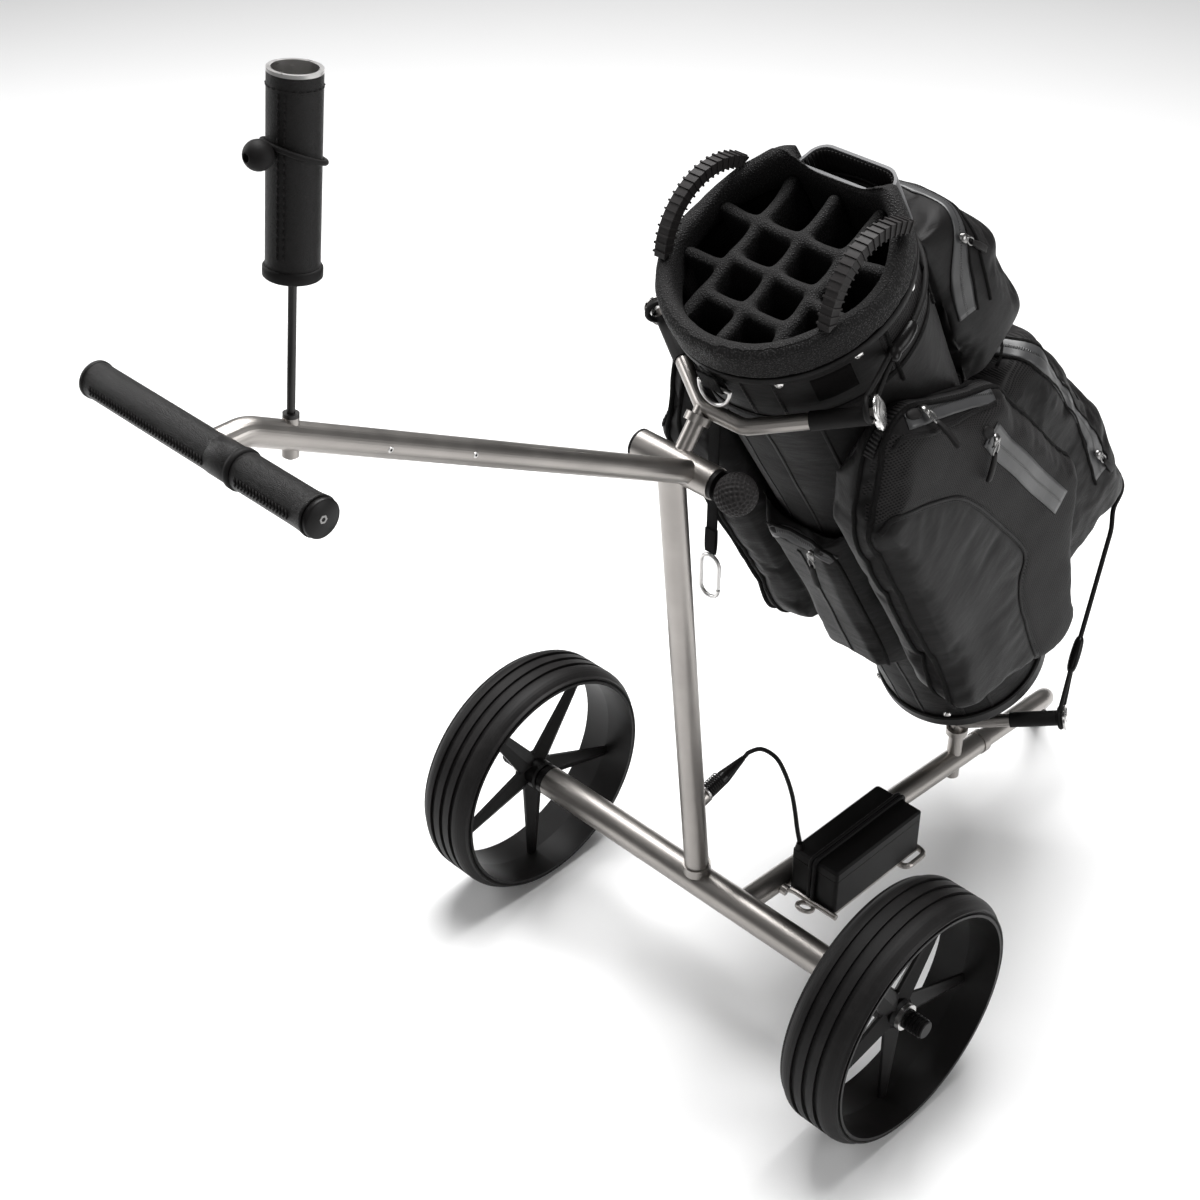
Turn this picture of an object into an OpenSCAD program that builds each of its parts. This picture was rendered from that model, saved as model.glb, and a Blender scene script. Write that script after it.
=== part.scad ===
// Electric golf trolley with a fourteen-way cart bag strapped to it.
// Millimetres. Z is up, Y is the way it travels and X is across it. The origin lies on
// the ground under the middle of the footprint. The chassis is drawn from the middle
// of the axle, and the bag from the middle of its own foot.

/* [Wheels] */
// Radius of a wheel over its tread
wheel_r = 145; // [138:1:155]
// Width of a tyre over its side walls
tyre_w = 74; // [68:1:80]
// Depth of a tyre at its edges
tyre_t = 12; // [10:1:14]
// Middle of a wheel from the middle of the cart
wheel_x = 271; // [266:1:290]
// Radius that rounds a tyre's shoulder
shoulder_r = 17; // [12:1:20]
// Number of grooves round the tread
groove_n = 3; // [1:1:4]
// Distance from one tread groove to the next
groove_pitch = 15; // [12:0.5:16]
// Width of a tread groove
groove_w = 6; // [4:0.5:7]
// Depth of a tread groove
groove_d = 3.5; // [2:0.5:5]
// Wall of the rim barrel
rim_wall = 3; // [2:0.5:4]
// How much narrower the rim barrel is at its waist than at its edges
rim_waist = 5; // [3:0.5:6]
// Number of spokes
spoke_n = 5; // [3:1:7]
// Width of a spoke where it leaves the hub
spoke_hub_w = 30; // [24:1:32]
// Width of a spoke where it meets the rim
spoke_rim_w = 12; // [9:1:16]
// Thickness of a spoke at its edges
spoke_t = 7; // [5:1:10]
// Turn of the wheels, which sets where the spokes stand
spoke_turn = -2; // [-36:1:36]
// Height of the ridge down the middle of a spoke
spoke_ridge = 7; // [3:1:9]
// Radius of the hub
hub_r = 18; // [17:1:22]
// Length of the hub from the spokes' middle towards the axle
hub_in = 20; // [16:1:22]
// Length of the hub from the spokes' middle outwards
hub_out = 12; // [10:1:16]
// Radius of the drive shaft
shaft_r = 6; // [5:0.5:7]
// Radius of the wheel release button
button_r = 11; // [10:0.5:13]
// Length of the wheel release button outside its seat
button_len = 25; // [20:1:30]
// Travel of the wheel release button
button_stroke = 4; // [2:0.5:4.5]
// Length of the bearing's outer ring, which stands proud of the hub
bearing_len = 5; // [4.5:0.5:7]

/* [Axle] */
// Radius of the axle tube
axle_r = 18; // [17:0.5:20]
// Half the length of the axle tube
axle_half = 239; // [225:1:240]
// Where the axle tube is split so that the mast can fold
axle_split = 13; // [9:1:20]
// Wall of the axle, mast, handle and front tubes
tube_wall = 2.5; // [2:0.25:3]
// Length of one hub motor inside the axle tube
motor_len = 150; // [110:5:170]
// Reach of the drive shaft into its motor
shaft_grip = 36; // [25:1:45]
// Length of the fold spigot on each side of the split
spigot_len = 30; // [20:1:40]

/* [Mast and fold joint] */
// Middle of the mast across the cart
mast_x = -5.5; // [-10:0.5:-5]
// Radius of the mast
mast_r = 13.5; // [12:0.5:14]
// Length from the axle to the cross tube
mast_len = 579; // [520:1:620]
// Backward lean of the mast in degrees
mast_lean = 6; // [3:0.5:9]
// Radius of the cross tube
cross_r = 16; // [15:0.5:18]
// Left end of the cross tube
cross_left = -43; // [-48:1:-36]
// Split between the fixed and the folding half of the cross tube
cross_split = 12.5; // [12.5:0.5:12.5]
// Right end of the cross tube
cross_right = 52.5; // [50:0.5:60]
// Radius of the clamp knob's ball
knob_r = 20.6; // [18:0.2:23]
// Radius of the clamp bolt
bolt_r = 4; // [3:0.5:5]
// Thickness of the clamp washer
washer_t = 4.5; // [3:0.5:6]

/* [Handle] */
// Middle of the handle tube across the cart
handle_x = 24.5; // [24.5:0.5:30]
// Radius of the handle tube
handle_r = 11.5; // [10.5:0.5:11.5]
// Length of the straight part of the handle tube
handle_len = 552; // [500:1:600]
// Rise of the handle tube in degrees
handle_rise = 27.8; // [20:0.2:35]
// Level reach from the end of the straight to the grip
grip_reach = 33; // [30:1:45]
// Left end of the grip
grip_left = -115; // [-130:1:-100]
// Right end of the grip
grip_right = 153; // [145:1:170]
// Radius of the grip
grip_r = 14.5; // [13.5:0.5:16]
// Left end of the twist throttle
throttle_left = 68; // [60:1:80]
// Thickness of the collar beside the throttle and of the grip's end caps
grip_collar = 4; // [3:0.5:6]
// Length of the flare at the throttle's outer end
throttle_flare = 9; // [6:1:14]
// How far the flare stands out at its lip
throttle_lip = 1; // [0.5:0.5:3]

/* [Cup holder] */
// Distance of the holder's boss along the handle from the cross tube
holder_at = 507; // [470:1:512]
// Forward lean of the holder's rod in degrees
holder_lean = 7; // [4:0.5:10]
// Radius of the holder's rod
rod_r = 3.2; // [2.8:0.1:4]
// Height of the cup's foot above the handle's middle
holder_rise = 128; // [100:1:150]
// Outer radius of the cup
cup_r = 19.7; // [18:0.1:24]
// Height of the cup
cup_len = 149; // [120:1:170]
// Thickness of the cup's outer sleeve
cup_sleeve = 2; // [1.5:0.25:3]
// Wall of the cup's liner
cup_wall = 1.2; // [1:0.1:2]
// Radius of the ball on the cup's elastic ring
ball_r = 11; // [9:0.5:12]
// Radius of the cup's elastic ring
elastic_r = 2; // [1.5:0.25:2.5]

/* [Front tube and foot] */
// Middle of the front tube across the cart
front_x = 54; // [50:1:58]
// Radius of the front tube
front_r = 13.5; // [12:0.5:15]
// Length of the front tube's outer stage from the axle
front_outer = 450; // [430:1:480]
// Straight length of the front tube from the axle
front_len = 588; // [560:1:620]
// Fall of the front tube in degrees
front_fall = 3.6; // [2:0.2:4.6]
// Step in radius between the front tube's two stages
front_step = 1.5; // [1:0.25:2]
// Bend radius of the front tube where it turns down to its foot
front_bend = 34; // [28:1:40]
// Middle of the foot ahead of the axle
foot_y = 652; // [645:1:690]
// Radius of the rubber foot
foot_r = 19; // [16:1:24]
// Height of the rubber foot
foot_h = 26; // [20:1:34]

/* [Bag brackets] */
// Radius of a bracket's bow tube
bow_r = 8; // [7:0.5:9]
// Wall of a bow tube
bow_wall = 2; // [1.5:0.25:2.5]
// Thickness of the rubber sleeve on a bow
bow_sleeve = 1.2; // [1:0.1:2]
// Length of a bow's straight middle
bow_flat = 51; // [48:1:60]
// Half of a bow's span
bow_half = 131; // [126:1:140]
// Reach of a bow's arms towards the bag
bow_reach = 67; // [60:1:70]
// Bend radius of a bow's corners
bow_bend = 22; // [18:1:30]
// Radius of the disc at the end of a bow
disc_r = 15; // [12:0.5:18]
// Height of the upper bow along the bag
bow_rise = 721; // [700:1:740]
// Shift of both bows across the bag
bow_shift = 4; // [3:0.5:6]
// Radius of the plug joint under a bow
plug_joint_r = 13; // [11:0.5:15]
// Height of the plug joint under a bow
plug_joint_h = 8; // [6:0.5:10]
// Length of a bow's neck above its plug joint
neck_len = 16; // [14:0.5:20]
// Radius of the posts that carry the bows
post_r = 8.8; // [7:0.2:9]

/* [Battery] */
// Width of the battery
batt_w = 64; // [56:1:70]
// Length of the battery
batt_l = 149; // [130:1:165]
// Height of the battery
batt_h = 57; // [50:1:64]
// Back of the battery ahead of the axle
batt_y = 70; // [62:1:80]
// Gap between the front tube and the battery
batt_gap = 1.5; // [1:0.5:4]
// Underside of the battery below the axle's middle
batt_drop = 7; // [4:1:12]
// Height of the battery's lid
lid_h = 12; // [9:1:16]
// Radius that rounds the battery's edges
batt_round = 4; // [2:0.5:6]
// Thickness of the shelf under the battery
shelf_t = 3; // [2:0.5:4]
// Radius of the wire brackets
wire_r = 3.5; // [2.5:0.25:4]
// Diameter of the battery's elastic cord
strap_d = 5; // [4:0.5:6]
// Diameter of the battery's cable
cable_d = 5; // [4.5:0.5:6]
// Height of the power socket up the mast
socket_up = 114.5; // [110:0.5:120]

/* [Bag] */
// Backward lean of the bag in degrees
bag_lean = 30; // [28:1:32]
// Middle of the bag across the cart
bag_x = 24; // [20:1:28]
// Middle of the bag's foot ahead of the axle
bag_y = 450; // [440:1:460]
// Middle of the bag's foot above the axle
bag_z = 64.5; // [60:0.5:74]
// Radius of the bag's foot
bag_foot_r = 100; // [96:1:106]
// Radius of the bag at its mouth
bag_top_r = 116; // [114:1:120]
// Wall of the bag
bag_wall = 3; // [2:0.5:5]
// Height of the bag from its foot to its collar
bag_len = 765; // [740:1:780]
// Height of the moulded foot
base_h = 54; // [44:1:64]
// How far the foot's lower edge is drawn in
base_taper = 18; // [10:1:24]
// Height of the padded collar
collar_h = 40; // [34:1:46]
// How far the collar's padding reaches inwards
collar_in = 17; // [12:1:20]
// How far the collar's padding stands out
collar_out = 4; // [1:0.5:5]
// Distance from one long divider to the next
divider_pitch = 50; // [46:1:54]
// Thickness of a padded divider
divider_t = 11; // [8:0.5:13]
// Depth of the padded dividers
divider_h = 80; // [60:5:120]
// How far the dividers lie below the collar's top
divider_drop = 18; // [12:1:24]
// Front of the club section ahead of the bag's middle
chord_n = 92; // [88:1:96]
// Length of a grip
grip_span = 122; // [110:1:130]
// Rise of a grip over the collar
grip_arch = 34; // [28:1:42]
// Half the distance between the two grips
grip_x = 98; // [94:0.5:104]
// Thickness of a grip
bag_grip_t = 13; // [10:0.5:15]
// Number of ribs along a grip
grip_ribs = 18; // [12:1:22]
// Reach of the putter well beyond the collar
well_out = 8; // [5:0.5:10]
// How far the putter well's edge lies below the collar's top
well_drop = 12; // [8:1:16]
// Half the width of the putter well
well_half = 56; // [50:1:60]

/* [Pockets] */
// How far a side pocket reaches from the bag's middle
side_pocket_x = 146; // [138:1:156]
// Rounding of a side pocket's outer edge
side_round = 16; // [8:1:22]
// How far the front pocket reaches from the bag's middle
front_pocket_n = 268; // [250:1:280]
// Half the width of the front pocket
front_half = 78; // [66:1:84]
// How far the ball pocket reaches from the bag's middle
ball_pocket_n = 216; // [200:1:230]
// Thickness of the pocket on the bag's back
rear_pocket_t = 11; // [8:0.5:14]
// Radius of the D-ring
d_ring_r = 19; // [15:0.5:22]
// Radius of the D-ring's and the carabiner's wire
ring_wire = 2.2; // [2:0.1:2.6]
// Length of the carabiner
hook_len = 62; // [52:1:70]
// Length of the webbing tab that holds the carabiner
tab_len = 172; // [150:1:180]

/* [Hidden] */
$fn = 64;
RIGHT = 1;
LEFT = -1;
EPS = 0.01;
FIT = 0.05; // radial clearance of a running fit
SEAT = 0.3; // clearance between soft or curved neighbours

TITANIUM = "#8c8682";
BLACK = "#1b1b1d";
RUBBER = "#242426";
SILVER = "#b9b9bc";
CLOTH = "#2b2c2f";
MESH = "#3a393b";
GREY = "#77787a";

// ---- derived sizes -----------------------------------------------------------
rim_edge_r = wheel_r - tyre_t;
rim_waist_r = rim_edge_r - rim_waist;
tyre_half = tyre_w / 2;
hub_web = 5; // web between the spokes at the hub
hub_face = wheel_x + hub_out;
collar_gap = 0.5;

cross = [0, -mast_len * sin(mast_lean), mast_len * cos(mast_lean)];
handle_dir = [0, -cos(handle_rise), sin(handle_rise)];
handle_foot = [handle_x, cross.y, cross.z];
handle_bend = handle_foot + handle_len * handle_dir;
grip_mid = handle_bend + [0, -grip_reach, 0];
bar_r = handle_r - 0.5; // T bar inside the grip

holder_dir = [0, sin(holder_lean), cos(holder_lean)];
holder_foot = handle_foot + holder_at * handle_dir;
boss_r = rod_r + 3.2;
boss_up = 15.5;
boss_down = 17;

front_dir = [0, cos(front_fall), -sin(front_fall)];
front_foot = [front_x, 0, -2];
front_end = front_foot + front_len * front_dir;
foot_mid = [0, foot_y, -wheel_r];
foot_route = [front_foot + (front_outer - 60) * front_dir, front_end,
    foot_mid + [0, 0, foot_h / 2]];

bag_foot = [bag_x, bag_y, bag_z];
bag_up = [0, -sin(bag_lean), cos(bag_lean)];
bag_front = [0, cos(bag_lean), sin(bag_lean)];
bow_outer = bow_r + bow_sleeve;
cap_plug = 5;
bag_floor = bow_outer + SEAT;
mouth = bag_floor + bag_len;
rim_top = mouth + collar_h;
bow_turn = atan(bow_reach / (bow_half - bow_flat / 2));
trunk_foot = bag_floor + base_h * 0.7;
bow_clear = trunk_r(bow_rise) + bow_outer + SEAT;
upper_bow_n = -max(bow_clear,
    (bow_clear - sin(bow_turn) * (bow_flat / 2 - bow_shift)) / cos(bow_turn));
lower_bow_n = -bow_reach;

post_y = bag_at([0, lower_bow_n, 0]).y;
post_top = bag_at([0, lower_bow_n, 0]).z - neck_len;
bow_end = bag_at([bow_shift - bow_flat / 2, upper_bow_n, bow_rise]);
stub_x = bow_end.x;
stub_root = [stub_x, cross.y, cross.z];
stub_dir = unit(bow_end - stub_root);
ring_mid = bow_end - (neck_len - plug_joint_h / 2) * stub_dir;

batt_x = front_x + front_r + batt_gap;
batt_z = -batt_drop;
strap_x = batt_x + batt_w * 0.5;
shelf_z = batt_z - shelf_t;
wire_z = shelf_z + wire_r;
socket_mid = [mast_x, -socket_up * tan(mast_lean), socket_up];
plug_dir = [0, cos(14), sin(14)];
plug_foot = socket_mid + (mast_r + 8) * plug_dir;
plug_len = 48;
plug_r = 8;

// The footprint runs from the back of the grip to the front of the foot.
axle_y = -((grip_mid.y - grip_r) + (foot_y + foot_r)) / 2;

// The battery cable, from the plug's tail to the battery's lid, seen from the axle.
cable_route = [
    [-5.5, 68, 134.5], [-5.5, 72, 135.5], [-5.5, 78, 137], [2, 90, 138.5],
    [18, 96, 132], [33, 95, 118], [46, 92, 100], [57, 86, 84], [67, 79, 70], [75, 75, 58]
];
// The elastic cords that hold the bag on its bows, from the right arm round to the left
upper_cord_route = [
    [126, -60.5, 735], [122, -24, 736.5], [117.5, 14, 738.5], [112, 38.5, 739],
    [102.5, 59.5, 739], [76, 91, 739], [40.5, 111.5, 739], [0, 118.5, 739],
    [-40.5, 111.5, 739], [-76, 91, 739], [-102.5, 59.5, 739], [-112.5, 38.5, 739],
    [-119, 0, 738.5], [-118, -30, 737], [-118, -60.5, 735]
];
lower_cord_route = [
    [125.5, 9.5, 6], [110, 85, 38.5], [94, 159, 71], [81, 220, 98], [78, 235, 103.5],
    [69, 257.5, 104], [44, 268, 104], [0, 268, 104], [-44, 268, 104], [-69, 257.5, 104],
    [-78, 235, 103.5], [-81, 219, 97], [-91.5, 158.5, 70.5], [-105, 84, 38],
    [-117.5, 9.5, 6]
];
cord_d = 6;

// ---- functions ---------------------------------------------------------------
function unit(v) = v / norm(v);
function flat_part(v, w) = unit(v - (v * w) * w);
function any_side(w) = abs(w.z) < 0.9 ? [0, 0, 1] : [1, 0, 0];
function bag_at(p) = [bag_x + p.x, bag_y + p.y * cos(bag_lean) - p.z * sin(bag_lean),
                      bag_z + p.y * sin(bag_lean) + p.z * cos(bag_lean)];
// Radius of the trunk at a height along the bag
function trunk_r(u) = bag_foot_r - bag_wall
    + (bag_top_r - bag_foot_r + bag_wall) * (u - trunk_foot) / (mouth - trunk_foot);
// One point of a smooth curve through four points, at t from the second to the third
function smooth(a, b, c, d, t) =
    0.5 * (2 * b + (c - a) * t + (2 * a - 5 * b + 4 * c - d) * t * t
           + (3 * b - 3 * c + d - a) * t * t * t);
function pick(p, i) = p[max(0, min(len(p) - 1, i))];
function curve(p, step) = concat([for (i = [0:len(p) - 2], j = [0:step - 1])
    smooth(pick(p, i - 1), p[i], p[i + 1], pick(p, i + 2), j / step)], [p[len(p) - 1]]);
function heading(p, i) = unit(pick(p, i + 1) - pick(p, i - 1));

// A route with each inner corner rounded to one radius in n steps
function rounded(p, bend, n) = concat([p[0]], [for (i = [1:len(p) - 2], k = [0:n])
    let (d = unit(p[i] - p[i - 1]), e = unit(p[i + 1] - p[i]), turn = acos(d * e),
         side = flat_part(e, d), foot = p[i] - d * bend * tan(turn / 2))
    foot + side * bend * (1 - cos(turn * k / n)) + d * bend * sin(turn * k / n)],
    [p[len(p) - 1]]);

// ---- shared shapes -----------------------------------------------------------
// Draws its children with their +Z along z, their +X towards x and their origin at o
module place(o, z, x) {
    w = unit(z);
    u = flat_part(is_undef(x) ? any_side(w) : x, w);
    v = cross(w, u);
    multmatrix([[u.x, v.x, w.x, o.x], [u.y, v.y, w.y, o.y], [u.z, v.z, w.z, o.z],
                [0, 0, 0, 1]]) children();
}
module along_x(x0, x1) { translate([x0, 0, 0]) rotate([0, 90, 0]) children(); }
module rod(a, b, r) { place(a, b - a) cylinder(r = r, h = norm(b - a)); }
module rod_x(x0, x1, r) { along_x(x0) cylinder(r = r, h = x1 - x0); }
module ring_x(x0, x1, r, bore) {
    along_x(x0) difference() {
        cylinder(r = r, h = x1 - x0);
        translate([0, 0, -1]) cylinder(r = bore, h = x1 - x0 + 2);
    }
}
module annulus(r, bore) {
    difference() {
        circle(r);
        if (bore > 0) circle(bore);
    }
}
// A tube bent to one radius at each inner point of a route
module bent_tube(p, bend, r, bore = 0) {
    last = len(p) - 1;
    d = [for (i = [0:last - 1]) unit(p[i + 1] - p[i])];
    turn = [for (i = [0:last]) i == 0 || i == last ? 0 : acos(d[i - 1] * d[i])];
    cut = [for (a = turn) bend * tan(a / 2)];
    for (i = [0:last - 1]) {
        a = p[i] + d[i] * cut[i];
        b = p[i + 1] - d[i] * cut[i + 1];
        place(a, d[i]) linear_extrude(norm(b - a)) annulus(r, bore);
    }
    for (i = [1:last - 1]) {
        side = flat_part(d[i], d[i - 1]);
        o = p[i] - d[i - 1] * cut[i] + side * bend;
        place(o, cross(-side, d[i - 1]), -side)
            rotate_extrude(angle = turn[i]) translate([bend, 0]) annulus(r, bore);
    }
}
// A round cord swept along its route as one closed skin
module swept_cord(route, d, sides = 10, side) {
    n = len(route);
    ring = [for (i = [0:n - 1]) let (
        w = heading(route, i),
        u = flat_part(is_undef(side) ? any_side(w) : side, w), v = cross(w, u))
        for (k = [0:sides - 1])
            route[i] + d / 2 * (cos(360 * k / sides) * u + sin(360 * k / sides) * v)];
    walls = [for (i = [0:n - 2], k = [0:sides - 1]) let (m = (k + 1) % sides)
        [i * sides + k, (i + 1) * sides + k, (i + 1) * sides + m, i * sides + m]];
    ends = [[for (k = [0:sides - 1]) k],
            [for (k = [sides - 1:-1:0]) (n - 1) * sides + k]];
    polyhedron(ring, concat(walls, ends));
}
// A solid bar bent to one radius at each inner point of a route, in one closed skin
module bend_rod(p, bend, r) swept_cord(rounded(p, bend, 8), 2 * r, 36,
    cross(p[1] - p[0], p[2] - p[1]));
module rounded_plate(w, l, r) {
    translate([r, 0]) square([w - 2 * r, l]);
    translate([0, r]) square([w, l - 2 * r]);
    for (x = [r, w - r], y = [r, l - r]) translate([x, y]) circle(r);
}
module from_axle() { translate([0, axle_y, wheel_r]) children(); }
module from_bag() {
    from_axle() translate(bag_foot) rotate([bag_lean, 0, 0]) children();
}
module on_side(side) {
    if (side == RIGHT) children();
    else mirror([1, 0, 0]) children();
}
module wheel_at(side) {
    from_axle() on_side(side) translate([wheel_x, 0, 0]) rotate([0, 90, 0]) children();
}

// ---- wheels ------------------------------------------------------------------
// Outline of the tread from the middle to one side wall, rounded over the shoulder
module tyre_half_outline() {
    flat = tyre_half - shoulder_r;
    lip_r = rim_edge_r + 5;
    last = acos(max(0, (lip_r - wheel_r + shoulder_r) / shoulder_r));
    shoulder = [for (a = [0:last / 5:last]) [wheel_r - shoulder_r + shoulder_r * cos(a),
                                             flat + shoulder_r * sin(a)]];
    edge = tyre_half - 1;
    polygon(concat([[rim_waist_r + rim_wall, 0], [wheel_r, 0]], shoulder,
                   [[lip_r - 1, tyre_half], [lip_r - 2, tyre_half],
                    [rim_edge_r + FIT, edge]]));
}
module tyre(side) {
    color(RUBBER) wheel_at(side) rotate_extrude($fn = 128) difference() {
        union() {
            tyre_half_outline();
            mirror([0, 1]) tyre_half_outline();
        }
        for (i = [0:groove_n - 1]) translate([wheel_r - groove_d,
            (i - (groove_n - 1) / 2) * groove_pitch - groove_w / 2])
            square([groove_d + 1, groove_w]);
        for (m = [0, 1]) mirror([0, m]) translate([rim_edge_r + 1.5, tyre_half + 1])
            rotate(45) square(3, center = true);
    }
}
module rim_half_outline() {
    edge = tyre_half - 1;
    lip = 2;
    polygon([[rim_waist_r, 0], [rim_waist_r + rim_wall - FIT, 0],
             [rim_edge_r, edge], [rim_edge_r, edge + lip],
             [rim_edge_r - rim_wall, edge + lip]]);
}
// A spoke with a ridge down its outer face: wide at the hub, narrow at the rim
module spoke() {
    function section(r, w, high) = [[r, -w / 2, -spoke_t / 4], [r, 0, -high],
        [r, w / 2, -spoke_t / 4], [r, w / 2, spoke_t / 4], [r, 0, high],
        [r, -w / 2, spoke_t / 4]];
    sides = 6;
    p = concat(section(hub_r * 0.5, spoke_hub_w, spoke_t / 2 + spoke_ridge),
               section(rim_waist_r + rim_wall / 2, spoke_rim_w, spoke_t / 2 + 1));
    polyhedron(p, concat([[0, 1, 2, 3, 4, 5], [11, 10, 9, 8, 7, 6]],
        [for (k = [0:sides - 1]) let (m = (k + 1) % sides) each [[k, k + sides, m + sides],
                                                                 [k, m + sides, m]]]));
}
module rim(side) {
    color(GREY) wheel_at(side) difference() {
        union() {
            rotate_extrude($fn = 128) {
                rim_half_outline();
                mirror([0, 1]) rim_half_outline();
            }
            rotate_extrude() polygon([[0, -hub_in], [hub_r - 2, -hub_in], [hub_r, 2 - hub_in],
                [hub_r, -hub_web / 2], [hub_r + 8, -hub_web / 2], [hub_r + 8, hub_web / 2],
                [hub_r, hub_web / 2], [hub_r, hub_out - 4], [hub_r - 3, hub_out],
                [0, hub_out]]);
            for (i = [0:spoke_n - 1]) rotate(360 * i / spoke_n + spoke_turn) spoke();
        }
        translate([0, 0, -hub_in - 1]) cylinder(r = shaft_r + FIT, h = hub_in + hub_out + 2);
    }
}
module bearing(side) {
    color(SILVER) from_axle() on_side(side)
        ring_x(hub_face, hub_face + bearing_len, button_r + 4, button_r + FIT * 2);
}
module drive_shaft(side) {
    color(SILVER) from_axle() on_side(side)
        rod_x(axle_half - shaft_grip, hub_face + bearing_len + 8, shaft_r);
}
module wheel_button(side) {
    foot = hub_face + button_stroke + SEAT;
    tip = hub_face + bearing_len + button_len;
    bore = bearing_len + 8 + button_stroke + 1;
    cap = 4;
    grooves = 4;
    color(BLACK) from_axle() on_side(side) along_x(foot) difference() {
        rotate_extrude() difference() {
            polygon([[0, 0], [button_r, 0], [button_r, tip - foot - cap],
                [button_r - 1, tip - foot - cap], [button_r - 1, tip - foot - 1],
                [button_r - 2, tip - foot], [0, tip - foot]]);
            for (i = [0:grooves - 1]) translate([button_r - 1.2, bearing_len + i * 4.2])
                square([2, 2]);
        }
        translate([0, 0, -1]) cylinder(r = shaft_r + FIT, h = bore + 1 - (foot - hub_face));
    }
}

// ---- axle --------------------------------------------------------------------
module motor(side) {
    seat = side == LEFT ? axle_half : axle_half;
    end = wheel_x - hub_in - collar_gap;
    color(BLACK) from_axle() on_side(side) difference() {
        union() {
            rod_x(seat - motor_len, seat, axle_r - tube_wall - FIT);
            rod_x(seat, end - 4, axle_r);
            rod_x(end - 4, end, axle_r - 4);
        }
        rod_x(seat - shaft_grip - 2, end + 1, shaft_r + FIT);
    }
}
module axle_tube(side) {
    inner = side == LEFT ? -axle_split : axle_split;
    color(TITANIUM) from_axle() on_side(side)
        ring_x(inner, axle_half, axle_r, axle_r - tube_wall);
}
module fold_sleeve() {
    color(BLACK) from_axle() ring_x(axle_split - spigot_len, axle_split + spigot_len,
        axle_r - tube_wall - FIT, axle_r - tube_wall - 3);
}

// ---- front tube --------------------------------------------------------------
module front_tube() {
    inner_r = front_r - front_step;
    step = front_foot + front_outer * front_dir;
    color(TITANIUM) from_axle() difference() {
        union() {
            rod(front_foot, step, front_r);
            rod(step - 10 * front_dir, step, front_r + 1.2);
            bend_rod(foot_route, front_bend, inner_r);
            rod([front_x, post_y, front_z(post_y) - front_r - 10],
                [front_x, post_y, post_top], post_r);
        }
        rod_x(axle_split, axle_half, axle_r);
        rod(front_foot, foot_route[0] + 5 * front_dir, inner_r - 1);
        bend_rod([foot_route[0], front_end, foot_mid + 0.2 * (foot_mid - front_end)],
            front_bend, inner_r - tube_wall);
    }
}
function front_z(y) = front_foot.z - (y - front_foot.y) * tan(front_fall);
module foot_pad() {
    color(RUBBER) from_axle() difference() {
        translate(foot_mid) rotate_extrude() polygon([[0, 0], [foot_r - 2, 0], [foot_r, 2],
            [foot_r, foot_h / 2], [front_r + 1, foot_h], [0, foot_h]]);
        bent_tube(foot_route, front_bend, front_r - front_step + FIT);
    }
}

// ---- mast --------------------------------------------------------------------
module mast() {
    foot = [mast_x, 0, 0];
    top = [mast_x, cross.y, cross.z];
    color(TITANIUM) from_axle() {
        difference() {
            union() {
                place(foot, top - foot) linear_extrude(norm(top - foot))
                    annulus(mast_r, mast_r - tube_wall);
                rod(stub_root, ring_mid - plug_joint_h / 2 * stub_dir, post_r);
                place(foot, top - foot) translate([0, 0, axle_r - 3])
                    linear_extrude(12) annulus(mast_r + 2, mast_r - 1);
            }
            rod_x(mast_x - 40, axle_split, axle_r);
            translate([0, cross.y, cross.z]) rod_x(cross_left, cross_split + 20, cross_r);
        }
        translate([0, cross.y, cross.z]) difference() {
            rod_x(cross_left, cross_split, cross_r);
            rod_x(cross_left - 1, cross_left + 14, cross_r - tube_wall);
            rod_x(cross_left, cross_split + 1, bolt_r + FIT);
        }
    }
}
module mast_cap() {
    color(BLACK) from_axle() translate([0, cross.y, cross.z]) {
        rod_x(cross_left - 3, cross_left, cross_r);
        rod_x(cross_left, cross_left + 6, cross_r - tube_wall - FIT);
    }
}
module clamp_bolt() {
    hex = 14;
    color(SILVER) from_axle() translate([0, cross.y, cross.z]) {
        rod_x(cross_split - 24, cross_right + washer_t + knob_r, bolt_r);
    }
}

// ---- handle ------------------------------------------------------------------
module handle_tube() {
    color(TITANIUM) from_axle() difference() {
        union() {
            bend_rod([handle_foot, handle_bend, grip_mid], 30, handle_r);
            translate([0, cross.y, cross.z]) rod_x(cross_split, cross_right, cross_r);
            translate([0, grip_mid.y, grip_mid.z]) rod_x(grip_left + grip_collar,
                grip_right - grip_collar, bar_r);
            rod(holder_foot - boss_down * holder_dir, holder_foot + boss_up * holder_dir,
                boss_r);
        }
        bend_rod([handle_foot + (cross_r + 2) * handle_dir, handle_bend, grip_mid], 30,
            handle_r - tube_wall);
        translate([0, grip_mid.y, grip_mid.z]) rod_x(grip_left, grip_right,
            bar_r - tube_wall + 0.3);
        translate([0, cross.y, cross.z]) rod_x(cross_split - 1, cross_right + 1, bolt_r + FIT);
        rod(holder_foot - (boss_down + 5) * holder_dir,
            holder_foot + (boss_up + 5) * holder_dir, rod_r + FIT);
    }
}
module clamp_washer() {
    color(BLACK) from_axle() translate([0, cross.y, cross.z])
        ring_x(cross_right, cross_right + washer_t, cross_r - 1, bolt_r + FIT);
}
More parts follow.
